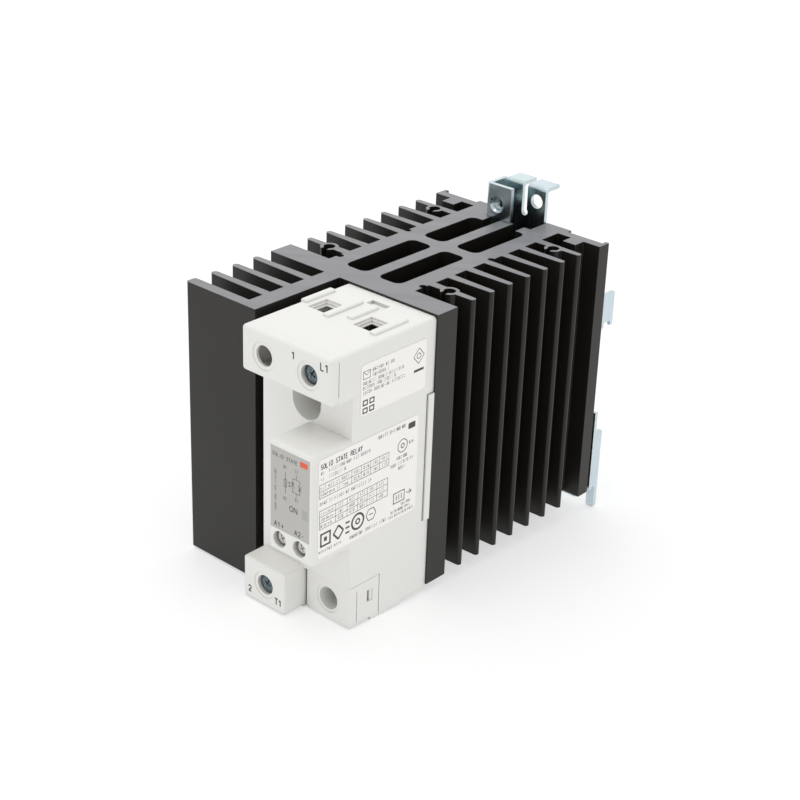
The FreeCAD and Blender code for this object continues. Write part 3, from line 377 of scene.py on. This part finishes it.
def zincMaterial():
    # bluish passivated zinc, with faint warm clouds
    look = zincPlate
    material, tree, shader = emptyMaterial("zincPlate")
    grain = place(tree, "grain", Scale=look["grainScale"], Stretch=look["grainStretch"],
                  Blotch_Scale=look["grainBlotch"])
    clouds = place(tree, "grain", Scale=look["cloudScale"], Blotch_Scale=look["cloudBlotch"])
    edge = place(tree, "edge", Radius=look["edgeRadius"], Strength=look["edgeWearAndGlint"])
    tone = mixColours(tree, clouds.outputs["Blotch"], look["warm"], look["cool"])
    worn = mathNode(tree, "POWER", grain.outputs["Blotch"], look["dullPower"])
    tone = mixColours(tree, worn, tone, look["dull"])
    # bright edges: a painted highlight along the bracket's edges
    tree.links.new(mixColours(tree, edge.outputs["Edge"], tone, look["edge"]), shader.inputs["Base Color"])
    tree.links.new(spread(tree, clouds.outputs["Grain"], *look["rough"]), shader.inputs["Roughness"])
    shader.inputs["Metallic"].default_value = 1.0
    tree.links.new(bumpFrom(tree, grain.outputs["Grain"], look["depth"], edge.outputs["Soft Normal"]),
                   shader.inputs["Normal"])
    return material


materials = {name: finishMaterial(name, finish) for name, finish in finishes.items()}
materials["anodised"] = anodisedMaterial()
materials["zinc_plate"] = zincMaterial()
for part in frame["record"]["subparts"]:
    skin = nodes[part["node"]].data
    skin.materials.clear()
    skin.materials.append(materials[part["material_slot"]])
print("materials:", len(materials))


# printing: flat marks that stand a hundredth of a millimetre proud of their face

printing = {"thick": 0.012 * mm, "ringSteps": 28, "cornerSteps": 5,
            "grainScale": 9000.0, "blotchScale": 700.0, "rough": (0.42, 0.6), "depth": 0.000004}


def inkMaterial(name, colour, weak):
    look = printing
    material, tree, shader = emptyMaterial(name)
    grain = place(tree, "grain", Scale=look["grainScale"], Blotch_Scale=look["blotchScale"])
    tree.links.new(mixColours(tree, grain.outputs["Blotch"], colour, weak), shader.inputs["Base Color"])
    tree.links.new(spread(tree, grain.outputs["Grain"], *look["rough"]), shader.inputs["Roughness"])
    tree.links.new(bumpFrom(tree, grain.outputs["Grain"], look["depth"]), shader.inputs["Normal"])
    return material


inks = {
    "black": inkMaterial("blackInk", (0.035, 0.034, 0.033), (0.075, 0.073, 0.07)),
    "grey": inkMaterial("greyInk", (0.10, 0.098, 0.094), (0.16, 0.157, 0.15)),
    "red": inkMaterial("redInk", (0.72, 0.085, 0.03), (0.80, 0.16, 0.08)),
}


def prism(sheet, outline):
    low = [sheet.verts.new((u * mm, v * mm, 0)) for u, v in outline]
    high = [sheet.verts.new((u * mm, v * mm, printing["thick"])) for u, v in outline]
    sheet.faces.new(reversed(low))
    sheet.faces.new(high)
    for i in range(len(low)):
        j = (i + 1) % len(low)
        sheet.faces.new((low[i], low[j], high[j], high[i]))


def line(sheet, start, end, width):
    run = Vector(end) - Vector(start)
    side = Vector((-run.y, run.x)).normalized() * (width / 2)
    a, b = Vector(start), Vector(end)
    prism(sheet, [a - side, b - side, b + side, a + side])


def outlineBox(sheet, low, high, width):
    half = width / 2
    (u0, v0), (u1, v1) = low, high
    for v in (v0, v1):
        line(sheet, (u0 - half, v), (u1 + half, v), width)
    for u in (u0, u1):
        line(sheet, (u, v0), (u, v1), width)


def block(sheet, low, high):
    prism(sheet, [low, (high[0], low[1]), high, (low[0], high[1])])


def plaque(sheet, low, high, corner):
    # a filled block with rounded corners
    steps = printing["cornerSteps"]
    (u0, v0), (u1, v1) = low, high
    outline = []
    for u, v, start in ((u1 - corner, v1 - corner, 0), (u0 + corner, v1 - corner, 90),
                        (u0 + corner, v0 + corner, 180), (u1 - corner, v0 + corner, 270)):
        outline += [circlePoint((u, v), corner, math.radians(start + 90 * i / steps)) for i in range(steps + 1)]
    prism(sheet, outline)


def circlePoint(centre, radius, turn):
    return (centre[0] + radius * math.cos(turn), centre[1] + radius * math.sin(turn))


def ring(sheet, centre, radius, width):
    count = printing["ringSteps"]
    turns = [math.radians(360.0 * i / count) for i in range(count + 1)]
    inner, outer = radius - width / 2, radius + width / 2
    for a, b in zip(turns, turns[1:]):
        prism(sheet, [circlePoint(centre, inner, a), circlePoint(centre, outer, a),
                      circlePoint(centre, outer, b), circlePoint(centre, inner, b)])


def polyline(sheet, points, width):
    for a, b in zip(points, points[1:]):
        line(sheet, a, b, width)


# strokes of each character on a cell one wide and one high
letterStrokes = {
    "1": [[(0.1, 0.74), (0.5, 0.96), (0.5, 0.0)]],
    "2": [[(0.06, 0.74), (0.18, 0.93), (0.45, 1.0), (0.72, 0.92), (0.82, 0.72), (0.7, 0.5), (0.06, 0.0), (0.86, 0.0)]],
    "L": [[(0.06, 1.0), (0.06, 0.0), (0.8, 0.0)]],
    "T": [[(0.0, 1.0), (0.94, 1.0)], [(0.47, 1.0), (0.47, 0.0)]],
    "A": [[(0.0, 0.0), (0.46, 1.0), (0.92, 0.0)], [(0.17, 0.34), (0.75, 0.34)]],
    "O": [[(0.5, 1.0), (0.16, 0.86), (0.02, 0.5), (0.16, 0.14), (0.5, 0.0), (0.84, 0.14), (0.98, 0.5), (0.84, 0.86),
           (0.5, 1.0)]],
    "N": [[(0.06, 0.0), (0.06, 1.0), (0.86, 0.0), (0.86, 1.0)]],
    "S": [[(0.86, 0.86), (0.5, 1.0), (0.12, 0.84), (0.14, 0.6), (0.8, 0.4), (0.84, 0.14), (0.46, 0.0),
           (0.06, 0.14)]],
    "I": [[(0.46, 0.0), (0.46, 1.0)]],
    "D": [[(0.06, 0.0), (0.06, 1.0), (0.5, 1.0), (0.84, 0.76), (0.84, 0.24), (0.5, 0.0), (0.06, 0.0)]],
    "E": [[(0.84, 1.0), (0.06, 1.0), (0.06, 0.0), (0.84, 0.0)], [(0.06, 0.52), (0.7, 0.52)]],
    "R": [[(0.06, 0.0), (0.06, 1.0), (0.66, 1.0), (0.82, 0.78), (0.66, 0.52), (0.06, 0.52)],
          [(0.5, 0.52), (0.86, 0.0)]],
    "Y": [[(0.0, 1.0), (0.46, 0.5), (0.92, 1.0)], [(0.46, 0.5), (0.46, 0.0)]],
    "+": [[(0.1, 0.45), (0.8, 0.45)], [(0.45, 0.8), (0.45, 0.1)]],
    "-": [[(0.2, 0.4), (0.7, 0.4)]],
    " ": [],
}
# marks that stand in for small print: bars, boxes and dashes that spell nothing
markStrokes = (
    [[(0.1, 0.0), (0.1, 1.0)], [(0.62, 0.0), (0.62, 1.0)]],
    [[(0.0, 0.12), (0.0, 0.88), (0.7, 0.88), (0.7, 0.12), (0.0, 0.12)]],
    [[(0.1, 0.0), (0.1, 1.0)], [(0.36, 0.5), (0.76, 0.5)]],
    [[(0.05, 0.2), (0.72, 0.2)], [(0.05, 0.8), (0.72, 0.8)]],
    [[(0.4, 0.0), (0.4, 0.42)], [(0.4, 0.62), (0.4, 1.0)]],
    [[(0.0, 0.04), (0.74, 0.04)], [(0.37, 0.34), (0.37, 1.0)]],
    [[(0.0, 0.96), (0.74, 0.96)], [(0.37, 0.0), (0.37, 0.66)]],
    [[(0.06, 0.0), (0.06, 1.0)], [(0.38, 0.0), (0.38, 0.6)], [(0.7, 0.0), (0.7, 1.0)]],
)


def character(sheet, strokes, corner, width, height, weight):
    for stroke in strokes:
        polyline(sheet, [(corner[0] + u * width, corner[1] + v * height) for u, v in stroke], weight)


letterFill = 0.84  # share of its cell that a letter takes


def lettering(sheet, text, low, high, weight):
    # real letters only for terminal numbers, the lamp's name and the kind of device
    cell = (high[0] - low[0]) / len(text)
    for count, letter in enumerate(text):
        corner = (low[0] + count * cell, low[1])
        character(sheet, letterStrokes[letter], corner, cell * letterFill, high[1] - low[1], weight)


# shares of a mark's height: its width, the step to the next, the gap between groups and a short mark
smallPrint = {"width": 0.62, "step": 1.22, "gap": 0.8, "short": 0.74, "tallOdds": 0.3,
              "firstGroup": (3, 8), "group": (2, 8)}


def markRow(sheet, dice, start, length, height, weight, capitals=True):
    # a row of marks in groups
    look = smallPrint
    u, v = start
    width = height * look["width"]
    left = dice.randint(*look["firstGroup"])
    while u < start[0] + length - width:
        if left == 0:
            left = dice.randint(*look["group"])
            u += width * look["gap"]
            continue
        tall = height if capitals or dice.random() < look["tallOdds"] else height * look["short"]
        character(sheet, dice.choice(markStrokes), (u, v), width, tall, weight)
        u += width * look["step"]
        left -= 1


def toObject(name, solid):
    mesh = bpy.data.meshes.new(name)
    solid.to_mesh(mesh)
    solid.free()
    piece = bpy.data.objects.new(name, mesh)
    bpy.context.scene.collection.objects.link(piece)
    return piece


def addPiece(name, sheet, material):
    bmesh.ops.recalc_face_normals(sheet, faces=sheet.faces)
    piece = toObject(name, sheet)
    piece.data.materials.append(material)
    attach(piece, "relay_body")


def onFront(sheet, corner):
    # u runs to the right and v up, on a face that looks towards -Y
    sheet.transform(Matrix.Translation(corner) @ Matrix(((1, 0, 0), (0, 0, -1), (0, 1, 0))).to_4x4())


def onSide(sheet, corner):
    # u runs to the back and v up, on a face that looks towards +X
    sheet.transform(Matrix.Translation(corner) @ Matrix(((0, 0, 1), (1, 0, 0), (0, 1, 0))).to_4x4())


# each letter's text and its low and high corner, in millimetres from its face's lower left corner
terminalLetters = {
    "weight": 0.46,
    "terminal_front_cover": (("1", (20.6, 10.3), (22.3, 12.5)), ("L1", (31.9, 10.5), (35.5, 12.8))),
    "load_terminal_housing": (("2", (2.1, 2.9), (3.7, 5.0)), ("T1", (13.6, 3.1), (16.9, 5.2))),
}
for node in ("terminal_front_cover", "load_terminal_housing"):
    sheet = bmesh.new()
    for text, low, high in terminalLetters[node]:
        lettering(sheet, text, low, high, terminalLetters["weight"])
    faceLow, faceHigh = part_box(node)
    onFront(sheet, faceLow)
    addPiece(node + "_letters", sheet, inks["black"])
print("terminal letters printed")


frontPrint = {
    "letters": (("A1+", (1.5, 0.8), (5.7, 2.4)), ("A2-", (9.8, 0.8), (14.0, 2.4)), ("ON", (7.7, 7.9), (11.3, 9.7))),
    "letterWeight": 0.26,
    "title": ("SOLID STATE", (0.7, 23.85), (11.0, 25.0)), "titleWeight": 0.17,
    "small": (("A1", (5.2, 21.0), (6.6, 22.1)), ("L1", (9.9, 21.3), (11.2, 22.4)),
              ("A2", (5.2, 10.8), (6.6, 11.9)), ("T1", (9.9, 11.8), (11.2, 12.9))),
    "smallWeight": 0.17,
    "seed": 3, "sideRow": {"length": 14.0, "height": 0.9, "weight": 0.13, "foot": (2.3, 5.9)},
    "redBlock": {"low": (11.8, 23.9), "high": (14.9, 25.7), "corner": 0.45},
}

# the circuit: a lamp on the control side drives two switches back to back on the load side
circuit = {
    "weight": 0.2,
    "controlWire": ((6.0, 20.0), (6.0, 13.0)), "lamp": ((5.5, 15.2), (6.5, 17.6)),
    "rayStart": 7.0, "rayEnd": 7.9, "rayHeights": (16.0, 17.0), "rayTip": (0.35, 0.3),
    "loadWires": (((10.4, 20.6), (10.4, 19.0)), ((10.4, 14.6), (10.4, 13.2))),
    "switchBox": ((9.0, 14.6), (11.8, 19.0)), "switchMiddle": 16.8, "switchSize": (0.7, 0.8),
}


def drawCircuit(sheet):
    look = circuit
    weight = look["weight"]
    polyline(sheet, look["controlWire"], weight)
    outlineBox(sheet, *look["lamp"], weight)
    back, rise = look["rayTip"]
    end = look["rayEnd"]
    for v in look["rayHeights"]:
        tip = [(end - back, v + rise), (end, v), (end - back, v - rise)]
        polyline(sheet, [(look["rayStart"], v), (end, v)] + tip, weight)
    for wire in look["loadWires"]:
        polyline(sheet, wire, weight)
    outlineBox(sheet, *look["switchBox"], weight)
    middle = look["switchMiddle"]
    half, tall = look["switchSize"]
    for u, way in zip((look["switchBox"][0][0], look["switchBox"][1][0]), (1, -1)):
        foot, tip = middle - tall * way, middle + tall * way
        polyline(sheet, [(u - half, foot), (u, tip), (u + half, foot)], weight)
        line(sheet, (u - half, tip), (u + half, tip), weight)


def frontLabelPrint():
    look = frontPrint
    labelLow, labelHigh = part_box("front_label")
    black = bmesh.new()
    for text, low, high in look["letters"]:
        lettering(black, text, low, high, look["letterWeight"])
    lettering(black, *look["title"], look["titleWeight"])
    onFront(black, labelLow)
    addPiece("front_label_letters", black, inks["black"])
    grey = bmesh.new()
    for text, low, high in look["small"]:
        lettering(grey, text, low, high, look["smallWeight"])
    drawCircuit(grey)
    onFront(grey, labelLow)
    addPiece("front_label_diagram", grey, inks["grey"])
    side = bmesh.new()
    row = look["sideRow"]
    markRow(side, random.Random(look["seed"]), (0, 0), row["length"], row["height"], row["weight"], False)
    foot = Vector((*row["foot"], 0)) * mm
    side.transform(Matrix.Translation(foot) @ Matrix.Rotation(math.radians(90), 4, "Z"))
    onFront(side, labelLow)
    addPiece("front_label_side_row", side, inks["grey"])
    red = bmesh.new()
    plaque(red, **look["redBlock"])
    onFront(red, labelLow)
    addPiece("front_label_red_block", red, inks["red"])


frontLabelPrint()
print("front label printed")


# rows of marks: start, length, height, weight and, where it is False, short marks among the tall ones
upperPrint = {
    "seed": 11,
    "rows": [(start, length, 1.1, 0.14)
             for start, length in (((4.8, 13.1), 9.8), ((4.8, 11.4), 7.4), ((0.9, 9.7), 17.4), ((0.9, 8.2), 14.4),
                                   ((0.9, 6.6), 19.4))],
    "envelope": ((0.9, 11.6), (3.8, 14.0)), "flap": (2.35, 12.7), "envelopeWeight": 0.17,
    "squares": ((0.9, 3.1), (3.7, 3.1), (0.9, 0.6), (3.7, 0.6)), "square": ((0.2, 0.2), (1.9, 1.6)),
    "squareWeight": 0.42,
    "diamond": ((22.4, 11.5), (24.7, 14.0), (27.0, 11.5), (24.7, 9.0), (22.4, 11.5)), "diamondWeight": 0.22,
    "ring": ((24.7, 11.5), 0.85, 0.24), "bar": ((22.7, 6.5), (27.0, 7.3)),
}


def upperSidePrint():
    look = upperPrint
    dice = random.Random(look["seed"])
    sheet = bmesh.new()
    low, high = look["envelope"]
    outlineBox(sheet, low, high, look["envelopeWeight"])
    polyline(sheet, [(low[0], high[1]), look["flap"], high], look["envelopeWeight"])
    for row in look["rows"]:
        markRow(sheet, dice, *row)
    (leftEdge, foot), (rightEdge, top) = look["square"]
    for u, v in look["squares"]:
        outlineBox(sheet, (u + leftEdge, v + foot), (u + rightEdge, v + top), look["squareWeight"])
    polyline(sheet, look["diamond"], look["diamondWeight"])
    ring(sheet, *look["ring"])
    block(sheet, *look["bar"])
    labelLow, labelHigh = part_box("side_label_upper")
    onSide(sheet, Vector((labelHigh.x, labelLow.y, labelLow.z)))
    addPiece("side_label_upper_print", sheet, inks["black"])


tablePrint = {"frame": 0.17, "rule": 0.15, "ink": 0.13, "foot": 0.24, "height": 0.52,
              "firstInset": 0.5, "inset": 1.0, "longest": 2.6, "spare": 1.2}


def table(sheet, dice, low, high, columns, rows, firstWide):
    look = tablePrint
    (u0, v0), (u1, v1) = low, high
    outlineBox(sheet, low, high, look["frame"])
    step = (v1 - v0) / rows
    for row in range(1, rows):
        line(sheet, (u0, v0 + step * row), (u1, v0 + step * row), look["rule"])
    for u in columns:
        line(sheet, (u, v0), (u, v1), look["rule"])
    tall = step * look["height"]
    for row in range(rows):
        v = v0 + step * row + step * look["foot"]
        markRow(sheet, dice, (u0 + look["firstInset"], v), firstWide, tall, look["ink"], False)
        for u, after in zip(columns, columns[1:] + (u1,)):
            length = min(look["longest"], after - u - look["spare"])
            markRow(sheet, dice, (u + look["inset"], v), length, tall, look["ink"])


# the rows stand in the order that they are drawn, with the two tables between them
lowerPrint = {
    "seed": 23,
    "title": ("SOLID STATE RELAY", (0.9, 29.3), (18.3, 30.85), 0.27),
    "rowsAbove": (((25.0, 30.3), 12.2, 1.1, 0.2), ((1.0, 27.6), 2.1, 1.0, 0.13, False),
                  ((1.0, 25.7), 2.1, 1.0, 0.13, False), ((4.3, 27.5), 17.4, 1.1, 0.14),
                  ((4.3, 25.6), 7.2, 1.1, 0.14)),
    "upperTable": {"low": (0.5, 20.0), "high": (29.7, 24.4), "columns": (13.8, 17.8, 21.8, 25.7), "rows": 2,
                   "firstWide": 12.0},
    "rowsBetween": (((0.7, 17.6), 22.3, 1.1, 0.15),),
    "lowerTable": {"low": (0.6, 9.8), "high": (29.5, 15.9), "columns": (7.3, 12.1, 16.6, 20.6, 24.8), "rows": 3,
                   "firstWide": 5.9},
    "rowsBelow": (((0.5, 1.7), 10.0, 1.1, 0.17, False), ((13.6, 1.3), 16.0, 1.1, 0.16),
                  ((38.6, 23.9), 2.2, 1.0, 0.2), ((33.3, 20.2), 4.6, 1.1, 0.22), ((30.7, 18.4), 10.6, 1.1, 0.14),
                  ((34.2, 16.7), 4.0, 1.1, 0.14), ((35.8, 3.9), 4.6, 0.9, 0.16), ((31.4, 2.5), 9.6, 0.9, 0.16),
                  ((30.6, 1.0), 11.2, 0.9, 0.16)),
    "plaque": ((38.0, 28.9), (41.1, 30.9), 0.4),
    "boxes": (((1.3, 3.9), (5.1, 7.9), 0.6), ((32.4, 5.6), (37.2, 9.0), 0.3)),
    "block": ((2.6, 5.2), (3.8, 6.6)),
    "rings": (((16.8, 6.2), 2.5, 0.7), ((16.8, 6.2), 0.8, 0.5), ((35.7, 24.4), 2.1, 0.28), ((35.7, 24.4), 0.7, 0.3)),
    "paths": ((((6.5, 5.9), (8.6, 8.2), (10.7, 5.9), (8.6, 3.6), (6.5, 5.9)), 0.6),
              (((20.4, 6.3), (21.4, 8.2), (23.6, 8.2), (24.6, 6.3), (23.6, 4.4), (21.4, 4.4), (20.4, 6.3)), 0.28),
              (((39.4, 8.2), (40.4, 7.4), (39.4, 6.6)), 0.26)),
    "lines": [((11.6, v), (13.3, v), 0.6) for v in (4.2, 5.9, 7.6)]
             + [((u, 6.4), (u, 8.2), 0.28) for u in (33.7, 34.8, 35.9)]
             + [((21.6, 6.3), (23.4, 6.3), 0.3), ((38.1, 7.4), (40.2, 7.4), 0.26)],
}


def lowerSidePrint():
    look = lowerPrint
    dice = random.Random(look["seed"])
    sheet = bmesh.new()
    lettering(sheet, *look["title"])
    for row in look["rowsAbove"]:
        markRow(sheet, dice, *row)
    table(sheet, dice, **look["upperTable"])
    for row in look["rowsBetween"]:
        markRow(sheet, dice, *row)
    table(sheet, dice, **look["lowerTable"])
    for row in look["rowsBelow"]:
        markRow(sheet, dice, *row)
    plaque(sheet, *look["plaque"])
    block(sheet, *look["block"])
    for box in look["boxes"]:
        outlineBox(sheet, *box)
    for circle in look["rings"]:
        ring(sheet, *circle)
    for points, weight in look["paths"]:
        polyline(sheet, points, weight)
    for stroke in look["lines"]:
        line(sheet, *stroke)
    labelLow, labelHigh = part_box("side_label_lower")
    onSide(sheet, Vector((labelHigh.x, labelLow.y, labelLow.z)))
    addPiece("side_label_lower_print", sheet, inks["black"])


upperSidePrint()
lowerSidePrint()
print("side labels printed")


def lathe(profile, segments):
    # profile points are (radius, depth) in metres, turned about Z
    turned = bmesh.new()
    loops = []
    for radius, depth in profile:
        if radius == 0:
            loops.append([turned.verts.new((0, 0, depth))])
            continue
        loops.append([turned.verts.new((radius * math.cos(2 * math.pi * i / segments),
                                        radius * math.sin(2 * math.pi * i / segments), depth))
                      for i in range(segments)])
    for a, b in zip(loops, loops[1:]):
        for i in range(segments):
            j = (i + 1) % segments
            corners = [a[i % len(a)], a[j % len(a)], b[j % len(b)], b[i % len(b)]]
            unique = list(dict.fromkeys(corners))
            if len(unique) > 2:
                turned.faces.new(unique)
    bmesh.ops.recalc_face_normals(turned, faces=turned.faces)
    return turned


def crossCutter(reach, width, top, floor, taper):
    # a cross-shaped plug, narrower at its floor
    cutter = bmesh.new()
    outline = [(width, reach), (-width, reach), (-width, width), (-reach, width), (-reach, -width),
               (-width, -width), (-width, -reach), (width, -reach), (width, -width), (reach, -width),
               (reach, width), (width, width)]
    levels = []
    for depth, scale in ((top, 1.0), (floor, taper)):
        levels.append([cutter.verts.new((u * scale, v * scale, depth)) for u, v in outline])
    cutter.faces.new(levels[0])
    cutter.faces.new(reversed(levels[1]))
    for i in range(len(outline)):
        j = (i + 1) % len(outline)
        cutter.faces.new((levels[0][i], levels[0][j], levels[1][j], levels[1][i]))
    bmesh.ops.recalc_face_normals(cutter, faces=cutter.faces)
    return cutter


# crown: how far each point of the head's rounded edge stands in from the rim, and its depth
powerScrew = {
    "head": 3.1, "headDeep": 3.15, "crown": ((0.9, 0.0), (0.45, -0.08), (0.14, -0.28), (0.0, -0.6)),
    "underside": 0.2, "neck": 0.1, "shank": 2.5, "pitch": 0.8, "rootShare": 0.42, "crest": 0.02, "runOut": 0.3,
    "tip": 0.4, "reach": 1.95, "arm": 0.42, "above": 0.2, "sink": 0.95, "taper": 0.3, "turned": 62, "segments": 48,
    "finish": "powerScrew",
}
controlScrew = {
    **powerScrew, "head": 2.25, "headDeep": 1.75, "shank": 1.5, "pitch": 0.5, "reach": 1.45, "arm": 0.32,
    "sink": 0.75, "taper": 0.4, "turned": 24, "finish": "controlScrew",
}
terminalScrews = {"line_screw": powerScrew, "load_screw": powerScrew, "control_screw_a1": controlScrew,
                  "control_screw_a2": controlScrew}


def screwProfile(size, long):
    # from the middle of the head down its side, along the thread and in to the middle of the tip
    head, deep, shank, pitch = size["head"], size["headDeep"], size["shank"], size["pitch"]
    root = shank - pitch * size["rootShare"]
    profile = [(0, 0.0)] + [(head - inset, depth) for inset, depth in size["crown"]]
    profile += [(head, -deep + size["underside"]), (head - size["underside"], -deep), (shank - size["neck"], -deep)]
    depth = deep + size["runOut"]
    while depth < long - pitch:
        profile += [(root, -depth), (shank - size["crest"], -depth - pitch / 2)]
        depth += pitch
    return profile + [(root, -long + size["tip"]), (root - size["tip"], -long), (0, -long)]


def terminalScrew(node, size):
    screwLow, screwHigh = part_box(node)
    centre = (screwLow + screwHigh) / 2
    profile = screwProfile(size, (screwHigh.y - screwLow.y) / mm)
    body = toObject(node + "_piece", lathe([(r * mm, d * mm) for r, d in profile], size["segments"]))
    plug = crossCutter(size["reach"] * mm, size["arm"] * mm, size["above"] * mm, -size["sink"] * mm, size["taper"])
    cutter = toObject("cutter", plug)
    cut = body.modifiers.new("recess", "BOOLEAN")
    cut.object = cutter
    cut.solver = "EXACT"
    bpy.context.view_layer.update()
    shaped = bpy.data.meshes.new_from_object(body.evaluated_get(bpy.context.evaluated_depsgraph_get()))
    body.modifiers.clear()
    body.data = shaped
    bpy.data.objects.remove(cutter)
    turn = Matrix.Translation((centre.x, screwLow.y, centre.z)) @ Matrix.Rotation(math.radians(90), 4, "X")
    spin = Matrix.Rotation(math.radians(size["turned"]), 4, "Z")
    body.data.transform(turn @ spin)
    body.data.materials.clear()
    body.data.materials.append(materials[size["finish"]])
    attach(body, node)
    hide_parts(node)


for node, size in terminalScrews.items():
    terminalScrew(node, size)
print("terminal screws cut")


earthThread = {"outer": 2.12, "inner": 1.82, "pitch": 0.8, "ridge": 0.36, "turns": 2.6, "steps": 40, "start": 0.75}


def earthThreadPiece():
    # the M5 thread in the bracket's collar
    look = earthThread
    collar = next(mount for mount in frame["record"]["mounts"] if mount["name"] == "earth_thread")
    start = Vector(collar["pos_m"]) + Vector((0, look["start"] * mm, 0))
    coil = bmesh.new()
    count = int(look["turns"] * look["steps"])
    half = look["pitch"] * look["ridge"]
    rows = []
    for i in range(count + 1):
        turn = 2 * math.pi * i / look["steps"]
        deep = look["pitch"] * i / look["steps"] + half
        corners = ((look["outer"], deep - half), (look["inner"], deep), (look["outer"], deep + half))
        rows.append([coil.verts.new((r * mm * math.cos(turn), d * mm, r * mm * math.sin(turn))) for r, d in corners])
    for a, b in zip(rows, rows[1:]):
        for i in range(3):
            j = (i + 1) % 3
            coil.faces.new((a[i], a[j], b[j], b[i]))
    coil.faces.new(rows[0])
    coil.faces.new(reversed(rows[-1]))
    coil.transform(Matrix.Translation(start))
    addPiece("earth_thread_ridge", coil, materials["zinc_plate"])


earthThreadPiece()
print("earth thread cut")


# studio: pale floor, soft light from above, and the camera

studio = {
    "floorColour": (0.50, 0.50, 0.50), "floorFaint": 0.985, "floorRough": (0.7, 0.85), "floorGrain": 600.0,
    "floorBlotch": 3.0, "floorGlow": 0.53, "floorHalf": 4.0, "floorSteps": 8, "tabInset": 1.2, "footInset": 9.4,
    "sky": 0.75, "topWatts": 5.5, "topSize": 1.1, "topPlace": (-0.12, -0.1, 1.27),
    "backWatts": 0.9, "backSize": 0.8, "backPlace": (-0.85, 0.75, 0.55), "aim": (0, 0, 0.05),
}


def floorPiece():
    # the relay stands on its release tabs and on the module's feet, so the floor leans a little
    look = studio
    tabLow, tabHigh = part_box("din_slider")
    footLow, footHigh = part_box("lower_front_cover")
    backY, backZ = tabHigh.y - look["tabInset"] * mm, tabLow.z
    frontY, frontZ = footLow.y + look["footInset"] * mm, footLow.z
    slope = (frontZ - backZ) / (frontY - backY)
    half, steps = look["floorHalf"], look["floorSteps"]
    marks = [-half + 2 * half * i / steps for i in range(steps + 1)]
    ground = bmesh.new()
    rows = [[ground.verts.new((x, y, backZ + slope * (y - backY))) for x in marks] for y in marks]
    for a, b in zip(rows, rows[1:]):
        for j in range(steps):
            ground.faces.new((a[j], a[j + 1], b[j + 1], b[j]))
    floor = toObject("paleFloor", ground)
    material, tree, shader = emptyMaterial("paleFloor")
    grain = place(tree, "grain", Scale=look["floorGrain"], Blotch_Scale=look["floorBlotch"])
    colour = look["floorColour"]
    faint = tuple(value * look["floorFaint"] for value in colour)
    tree.links.new(mixColours(tree, grain.outputs["Blotch"], faint, colour), shader.inputs["Base Color"])
    tree.links.new(spread(tree, grain.outputs["Grain"], *look["floorRough"]), shader.inputs["Roughness"])
    shader.inputs["Emission Color"].default_value = (1, 1, 1, 1)
    shader.inputs["Emission Strength"].default_value = look["floorGlow"]
    floor.data.materials.append(material)


def softLight(name, place, watts, size):
    lamp = bpy.data.lights.new(name, "AREA")
    lamp.energy = watts
    lamp.shape = "SQUARE"
    lamp.size = size
    holder = bpy.data.objects.new(name, lamp)
    holder.location = place
    aim = Vector(studio["aim"]) - Vector(place)
    holder.rotation_euler = aim.to_track_quat("-Z", "Y").to_euler()
    bpy.context.scene.collection.objects.link(holder)


def studioSky():
    world = bpy.data.worlds.new("studioSky")
    world.use_nodes = True
    backdrop = world.node_tree.nodes["Background"]
    backdrop.inputs["Color"].default_value = (1.0, 1.0, 1.0, 1.0)
    backdrop.inputs["Strength"].default_value = studio["sky"]
    bpy.context.scene.world = world


cameraView = {"place": (0.3388, -0.38345, 0.3064), "azimuth": 41.12, "elevation": 26.26, "roll": 2.07,
              "lens": 79.43, "sensor": 36.0, "nearest": 0.01}


def studioCamera():
    look = cameraView
    turn, lift, roll = (math.radians(look[name]) for name in ("azimuth", "elevation", "roll"))
    back = Vector((math.sin(turn) * math.cos(lift), -math.cos(turn) * math.cos(lift), math.sin(lift)))
    right = Vector((0, 0, 1)).cross(back).normalized()
    up = back.cross(right)
    across = right * math.cos(roll) + up * math.sin(roll)
    above = up * math.cos(roll) - right * math.sin(roll)
    lens = bpy.data.cameras.new("studioCamera")
    lens.lens = look["lens"]
    lens.sensor_width = look["sensor"]
    lens.clip_start = look["nearest"]
    holder = bpy.data.objects.new("studioCamera", lens)
    axes = Matrix((across, above, back)).transposed().to_4x4()
    holder.matrix_world = Matrix.Translation(look["place"]) @ axes
    bpy.context.scene.collection.objects.link(holder)
    bpy.context.scene.camera = holder


floorPiece()
softLight("topLight", studio["topPlace"], studio["topWatts"], studio["topSize"])
softLight("backLight", studio["backPlace"], studio["backWatts"], studio["backSize"])
studioSky()
studioCamera()
bpy.context.scene.view_settings.view_transform = "Standard"
print("studio ready")
